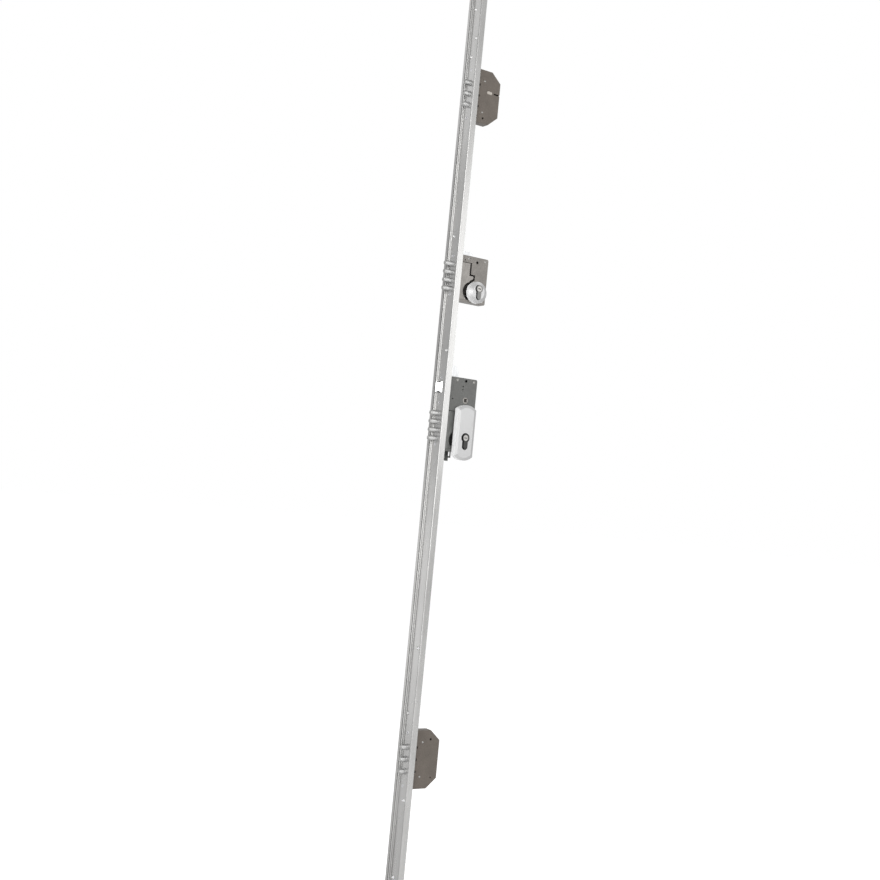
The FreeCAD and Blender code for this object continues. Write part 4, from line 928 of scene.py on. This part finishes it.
@dataclass
class Trim:
    """Security trim on the keyed side of a case, with the screws that hold it.

    Args:
        node: CAD node of the trim.
        screws: CAD node of its screws.
        ease: Rounding of its edges.
        bevel: Width of the rim's bevel where it is wider than the node's.
        drop: Depth of that bevel.
        sink: Width of the countersink round the key cylinder, black with painted shadow.
        mitre: Least angle between two bevels that meet in a mitre.
        tilt: Span of the Y of a bevel's normals.
        upright: Greatest Y of the normal of an outer side.
        outer: Least distance of an outer side from the middle, as a share of half the width.
    """

    node: str
    screws: str
    ease: float = 0.7 * MM
    bevel: float = 0.0
    drop: float = 0.0
    sink: float = 1.5 * MM
    mitre: float = math.radians(12)
    tilt: Span = (-0.95, -0.3)
    upright: float = 0.3
    outer: float = 0.8

    def rim(self, shape: Shape) -> list[bmesh.types.BMFace]:
        """Faces of the bevel round the front."""
        return [side for side in shape.faces if self.tilt[0] < side.normal.y < self.tilt[1]]

    def straighten(self, shape: Shape) -> None:
        """Run the facets of the bevel straight from the front to the back edge.

        Args:
            shape: The trim, with stray rows of vertices across its bevel.
        """
        rim = set(bmesh.ops.triangulate(shape, faces=self.rim(shape))["faces"])
        verts = {vert for side in rim for vert in side.verts}
        bent = {vert for vert in verts for edge in vert.link_edges
                if rim.issuperset(edge.link_faces) and edge.calc_face_angle(0) > self.mitre}
        back = max(vert.co.y for vert in verts) - LEVEL
        ends = [vert for vert in verts if vert.co.y > back]
        mitres = [vert for vert in ends if vert in bent]
        near = {}
        for vert in verts:
            if vert.co.y < back and rim.issuperset(vert.link_faces):
                near[vert] = min(mitres if vert in bent else ends,
                                 key=lambda end: (end.co - vert.co).length)
        bmesh.ops.weld_verts(shape, targetmap=near)

    def widen(self, shape: Shape, low: Vector, high: Vector) -> None:
        """Make the bevel round the front wide and shallow.

        Args:
            shape: The trim, with the node's own bevel.
            low: Lowest corner of its box.
            high: Highest corner.
        """
        verts = {vert for side in self.rim(shape) for vert in side.verts}
        front = [vert for vert in verts if vert.co.y < low.y + LEVEL]
        back = [vert for vert in verts if vert not in front]
        centre, reach = middle((low, high)), (high - low) / 2
        inner = Vector([max(abs(vert.co[axis] - centre[axis]) for vert in front)
                        for axis in range(3)])
        grow = Vector(((reach.x - self.bevel) / inner.x, 1, (reach.z - self.bevel) / inner.z))
        bmesh.ops.scale(shape, vec=grow, space=Matrix.Translation(-centre), verts=front)
        edge = max(vert.co.y for vert in back)
        bmesh.ops.translate(shape, vec=(0, low.y + self.drop - edge, 0), verts=back)

    def sink_hole(self, shape: Shape, front: float) -> None:
        """Countersink the hole for the key cylinder, black in the trim's third finish as a painted
        shadow round the cylinder.

        Args:
            shape: The trim.
            front: Where its face lies along Y.
        """
        mouth = [edge for edge in shape.edges
                 if all(vert.co.y < front + LEVEL for vert in edge.verts)
                 and any(abs(side.normal.y) < ALONGSIDE for side in edge.link_faces)]
        bmesh.ops.bevel(shape, geom=mouth, offset=self.sink, offset_type="OFFSET", segments=1,
                        profile=0.5, affect="EDGES", clamp_overlap=True, material=THIRD_FINISH)

    def painted_light_sides(self, shape: Shape, low: Vector, high: Vector) -> None:
        """Paint light onto the outer sides: they take the trim's second finish, a pale copy of its satin
        that stands in for the light they catch.

        Args:
            shape: The trim.
            low: Lowest corner of its box.
            high: Highest corner.
        """
        centre, reach = middle((low, high)), (high - low) / 2
        for side in shape.faces:
            out = side.calc_center_median() - centre
            out.y = 0
            upright = abs(side.normal.y) < self.upright and side.normal.dot(out) > 0
            if upright and out.length > self.outer * reach.x:
                side.material_index = SECOND_FINISH

    def body(self) -> bpy.types.Object:
        """The trim itself, with painted light on its sides and a countersink in painted shadow.

        Returns:
            The piece.
        """
        piece = eased_copy(self.node, SATIN_CHROME, "forend", self.ease, segments=3)
        # Second slot: painted light on the sides. Third slot: painted shadow in the countersink.
        for finish in (PAINTED_LIGHT_SIDE, PAINTED_SHADE_BLACK):
            piece.data.materials.append(finish.material())
        low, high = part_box(self.node)
        shape = bmesh.new()
        shape.from_mesh(piece.data)
        self.straighten(shape)
        if self.bevel:
            self.widen(shape, low, high)
        shape.normal_update()
        for edge in shape.edges:
            edge.smooth = edge.calc_face_angle(math.pi) < self.mitre
        self.sink_hole(shape, low.y)
        self.painted_light_sides(shape, low, high)
        shape.to_mesh(piece.data)
        shape.free()
        piece.modifiers["eased edges"].harden_normals = False
        piece.modifiers.new("even shading", "WEIGHTED_NORMAL").keep_sharp = True
        return piece

    def build(self) -> list[bpy.types.Object]:
        """Make the trim and its screws."""
        return [self.body(), eased_copy(self.screws, SCREW_ZINC, "forend")]


@dataclass
class LatchWork:
    """Latch bolt, its return spring and the follower that draws it.

    Args:
        ease: Rounding of the latch's edges.
        groove: How deep the node's grooves in its top and bottom edges are.
        central: How far from the middle of the latch a groove's faces lie at most.
        skin: Faces less deep than this are the edge's own.
        slack: How far past a groove's depth its faces are looked for.
        deeper: How many times as deep the grooves are made.
        wider: How many times as wide.
        follower_ease: Eased edge of the follower.
    """

    ease: float = 0.5 * MM
    groove: float = 1.8 * MM
    central: float = 3.6 * MM
    skin: float = 0.05 * MM
    slack: float = 0.1 * MM
    deeper: float = 1.5
    wider: float = 1.75
    follower_ease: float = 0.3 * MM

    def cut_groove(self, mesh: bpy.types.Mesh, edge: float, way: int) -> None:
        """Deepen the groove in one edge of the latch and paint its faces black as painted shade.

        Args:
            mesh: The latch.
            edge: Height of the edge.
            way: 1 for the top edge, -1 for the bottom one.
        """
        floor = self.groove + self.slack
        for side in mesh.polygons:
            lengthwise = abs(side.normal.x) < ALONGSIDE and abs(side.center.y) < self.central
            if lengthwise and self.skin < way * (edge - side.center.z) < floor:
                side.material_index = SECOND_FINISH
        shaded = [side for side in mesh.polygons if side.material_index]
        for point in {point for side in shaded for point in side.vertices}:
            place = mesh.vertices[point].co
            if 0 <= way * (edge - place.z) < floor:
                place.y *= self.wider
                place.z = edge + (place.z - edge) * self.deeper

    def latch(self) -> bpy.types.Object:
        """Latch head and tail, with painted shade in black in its guide grooves.

        Returns:
            The piece.
        """
        piece = eased_copy("latch_bolt", BRIGHT_NICKEL, "latch", self.ease, segments=3)
        # Second slot: painted shade in the grooves.
        piece.data.materials.append(PAINTED_SHADE_BLACK.material())
        heights = [vert.co.z for vert in piece.data.vertices if vert.co.x < 0]
        self.cut_groove(piece.data, max(heights), 1)
        self.cut_groove(piece.data, min(heights), -1)
        return piece

    def spring(self) -> bpy.types.Object:
        """Return spring, copied from its node as a piece with a mesh of its own.

        Returns:
            The piece.
        """
        piece = finished("latch_spring", welded("latch_spring"), SPRING_WIRE, "forend",
                         ("latch_spring",))
        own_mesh(piece)
        return piece

    def build(self) -> list[bpy.types.Object]:
        """Make the latch, its spring and the follower.

        Returns:
            The pieces.
        """
        return [
            self.latch(),
            self.spring(),
            eased_copy("handle_follower", MECHANISM, "follower", self.follower_ease),
        ]


@dataclass
class Lamp:
    """A rectangular soft light that is aimed at a point.

    Args:
        name: Its name.
        place: Where it stands.
        aim: What it points at.
        size: Width and height.
        power: Watts.
    """

    name: str
    place: tuple[float, float, float]
    aim: tuple[float, float, float]
    size: tuple[float, float]
    power: float

    def build(self) -> None:
        """Hang the lamp and aim it."""
        data = bpy.data.lights.new(self.name, "AREA")
        data.shape = "RECTANGLE"
        data.size, data.size_y = self.size
        data.energy = self.power
        lamp = bpy.data.objects.new(self.name, data)
        lamp.location = self.place
        toward = Vector(self.aim) - Vector(self.place)
        lamp.rotation_euler = toward.to_track_quat("-Z", "Y").to_euler()
        bpy.context.scene.collection.objects.link(lamp)


@dataclass
class Studio:
    """White floor and surround, soft lamps and the camera.

    Args:
        azimuth: Camera's turn from the keyed side toward the bolts, in radians.
        elevation: Its height angle.
        roll: Its roll.
        distance: From the camera to its target.
        target: What it looks at.
        sensor: Width of its sensor, in millimetres.
        lens: Its focal length, in millimetres.
        shift: Shift of the frame across and up.
        sight: How far it sees, in metres.
        surround: Strength of the surround as light.
        floor_reach: From the middle of the floor to its edges.
        floor_grey: Colour of the floor in each channel.
        floor_roughness: Roughness of the floor.
        floor_sheen: Strength of its reflections.
        floor_glow: What it adds to the light that it sends back, to show white.
        lamps: The soft lights.
    """

    azimuth: float = 0.571551
    elevation: float = -0.100097
    roll: float = 0.095606
    distance: float = 2.812641
    target: tuple[float, float, float] = (-0.000588, 0.009, 0.148222)
    sensor: float = 36.0
    lens: float = 50.8632
    shift: tuple[float, float] = (0.0, -0.08)
    sight: float = 60.0
    surround: float = 0.5
    floor_reach: float = 30.0
    floor_grey: float = 0.9
    floor_roughness: float = 0.9
    floor_sheen: float = 0.1
    floor_glow: float = 0.55
    lamps: tuple[Lamp, ...] = (
        Lamp("right_softbox", (1.37, -2.07, 0.63), (0.0, 0.0, 0.3), (1.8, 1.18), 12.0),
        Lamp("left_low_softbox", (-1.37, 2.07, -0.55), (0.0, 0.0, -0.37), (1.8, 0.88), 4.9),
        Lamp("left_high_softbox", (-1.37, 2.07, 1.79), (0.0, 0.0, 0.9), (1.8, 0.82), 3.6),
        Lamp("left_front_softbox", (-2.35, -1.35, 0.5), (0.0, 0.0, 0.2), (1.1, 2.6), 46.0),
        Lamp("front_softbox", (-2.35, -5.04, 0.9), (0.0, 0.0, 0.2), (2.4, 3.0), 90.0),
        Lamp("top_softbox", (1.35, -0.3, 2.25), (0.0, 0.0, 0.2), (1.3, 1.0), 5.0),
    )

    def camera(self) -> None:
        """Stand the camera where the photograph was taken from."""
        level = math.cos(self.elevation)
        back = Vector((-math.sin(self.azimuth) * level, -math.cos(self.azimuth) * level,
                       math.sin(self.elevation)))
        right = (-back).cross(ALONG_Z).normalized()
        above = right.cross(-back)
        cosine, sine = math.cos(self.roll), math.sin(self.roll)
        across = right * cosine + above * sine
        upward = above * cosine - right * sine
        data = bpy.data.cameras.new("camera")
        data.lens = self.lens
        data.sensor_width = self.sensor
        data.shift_x, data.shift_y = self.shift
        data.clip_end = self.sight
        camera = bpy.data.objects.new("camera", data)
        turn = Matrix((across, upward, back)).transposed().to_4x4()
        camera.matrix_world = Matrix.Translation(Vector(self.target) + back * self.distance) @ turn
        bpy.context.scene.collection.objects.link(camera)
        bpy.context.scene.camera = camera

    @staticmethod
    def seen_rays(tree: Tree) -> Socket:
        """Tell the rays that see a surface from those that only light one.

        Args:
            tree: The nodes to add to.

        Returns:
            1 for camera, glossy and transmission rays, and 0 for others.
        """
        rays = tree.nodes.new("ShaderNodeLightPath")
        value = rays.outputs["Is Camera Ray"]
        for other in ("Is Glossy Ray", "Is Transmission Ray"):
            both = tree.nodes.new("ShaderNodeMath")
            both.operation = "MAXIMUM"
            tree.links.new(value, both.inputs[0])
            tree.links.new(rays.outputs[other], both.inputs[1])
            value = both.outputs["Value"]
        return value

    def world(self) -> None:
        """Surround the lock with white that lights it softly."""
        world = bpy.data.worlds.new("studio_surround")
        world.use_nodes = True
        bpy.context.scene.world = world
        tree = world.node_tree
        sky = tree.nodes["Background"]
        sky.inputs["Color"].default_value = (1, 1, 1, 1)
        strength = mapped(tree, self.seen_rays(tree), (0.0, 1.0), (self.surround, 1.0))
        tree.links.new(strength, sky.inputs["Strength"])

    def floor(self) -> None:
        """Lay a plain pale floor under the lock."""
        shape = bmesh.new()
        bmesh.ops.create_grid(shape, x_segments=1, y_segments=1, size=self.floor_reach)
        bmesh.ops.translate(shape, verts=shape.verts, vec=(0, 0, cad_box[0][2]))
        data = bpy.data.meshes.new("studio_floor")
        shape.to_mesh(data)
        shape.free()
        floor = bpy.data.objects.new("studio_floor", data)
        bpy.context.scene.collection.objects.link(floor)
        material = bpy.data.materials.new("pale_floor")
        material.use_nodes = True
        tree = material.node_tree
        shader = tree.nodes["Principled BSDF"]
        shader.inputs["Base Color"].default_value = (*(self.floor_grey,) * 3, 1)
        shader.inputs["Roughness"].default_value = self.floor_roughness
        shader.inputs["Specular IOR Level"].default_value = self.floor_sheen
        shader.inputs["Emission Color"].default_value = (1, 1, 1, 1)
        glow = mapped(tree, self.seen_rays(tree), (0.0, 1.0), (0.0, self.floor_glow))
        tree.links.new(glow, shader.inputs["Emission Strength"])
        data.materials.append(material)

    def build(self) -> None:
        """Set up the whole studio."""
        self.camera()
        self.world()
        self.floor()
        for lamp in self.lamps:
            lamp.build()
        bpy.context.scene.view_settings.view_transform = "Standard"


def main() -> None:
    """Build the lock's looks from the forend out, and then its studio."""
    made = Forend().build()
    for name in ("main", "second", "upper", "lower"):
        made.append(Bolts(f"{name}_bolts", f"{name}_carriage").build())
    made += LockCase("main", CASE_PLATE).build()
    made += LockCase("second", WARM_CASE).build()
    for name in ("upper", "lower"):
        made += LockCase(name, OUTER_CASE, guide=True, head=2.4 * MM).build()
    main_pins = ("main_upper_pin", "main_lower_pin")
    made += Carriage("main", "main_carriage", DARK_CARRIAGE, main_pins).build()
    made += Carriage("second", "second_carriage", MECHANISM).build()
    for name in ("upper", "lower"):
        made += Carriage(name, f"{name}_carriage", MECHANISM, (f"{name}_carriage_pin",)).build()
    made += RodTrain("upper", "upper_rod", ROD_ZINC).build()
    made += RodTrain("lower", "lower_rod", DARK_CARRIAGE).build()
    made.append(eased_copy("second_rod_keeper", ROD_ZINC, "forend"))
    made += KeyCylinder("main", "main_key_drive", DARK_CYLINDER).build()
    made += KeyCylinder("second", "second_key_drive", CYLINDER_SATIN).build()
    made += Trim("main_escutcheon", "escutcheon_screws", bevel=6.5 * MM, drop=2.8 * MM).build()
    made += Trim("second_rosette", "rosette_screws").build()
    made += LatchWork().build()
    Studio().build()
    log.info("%d pieces", len(made))


if __name__ == "__main__":
    main()
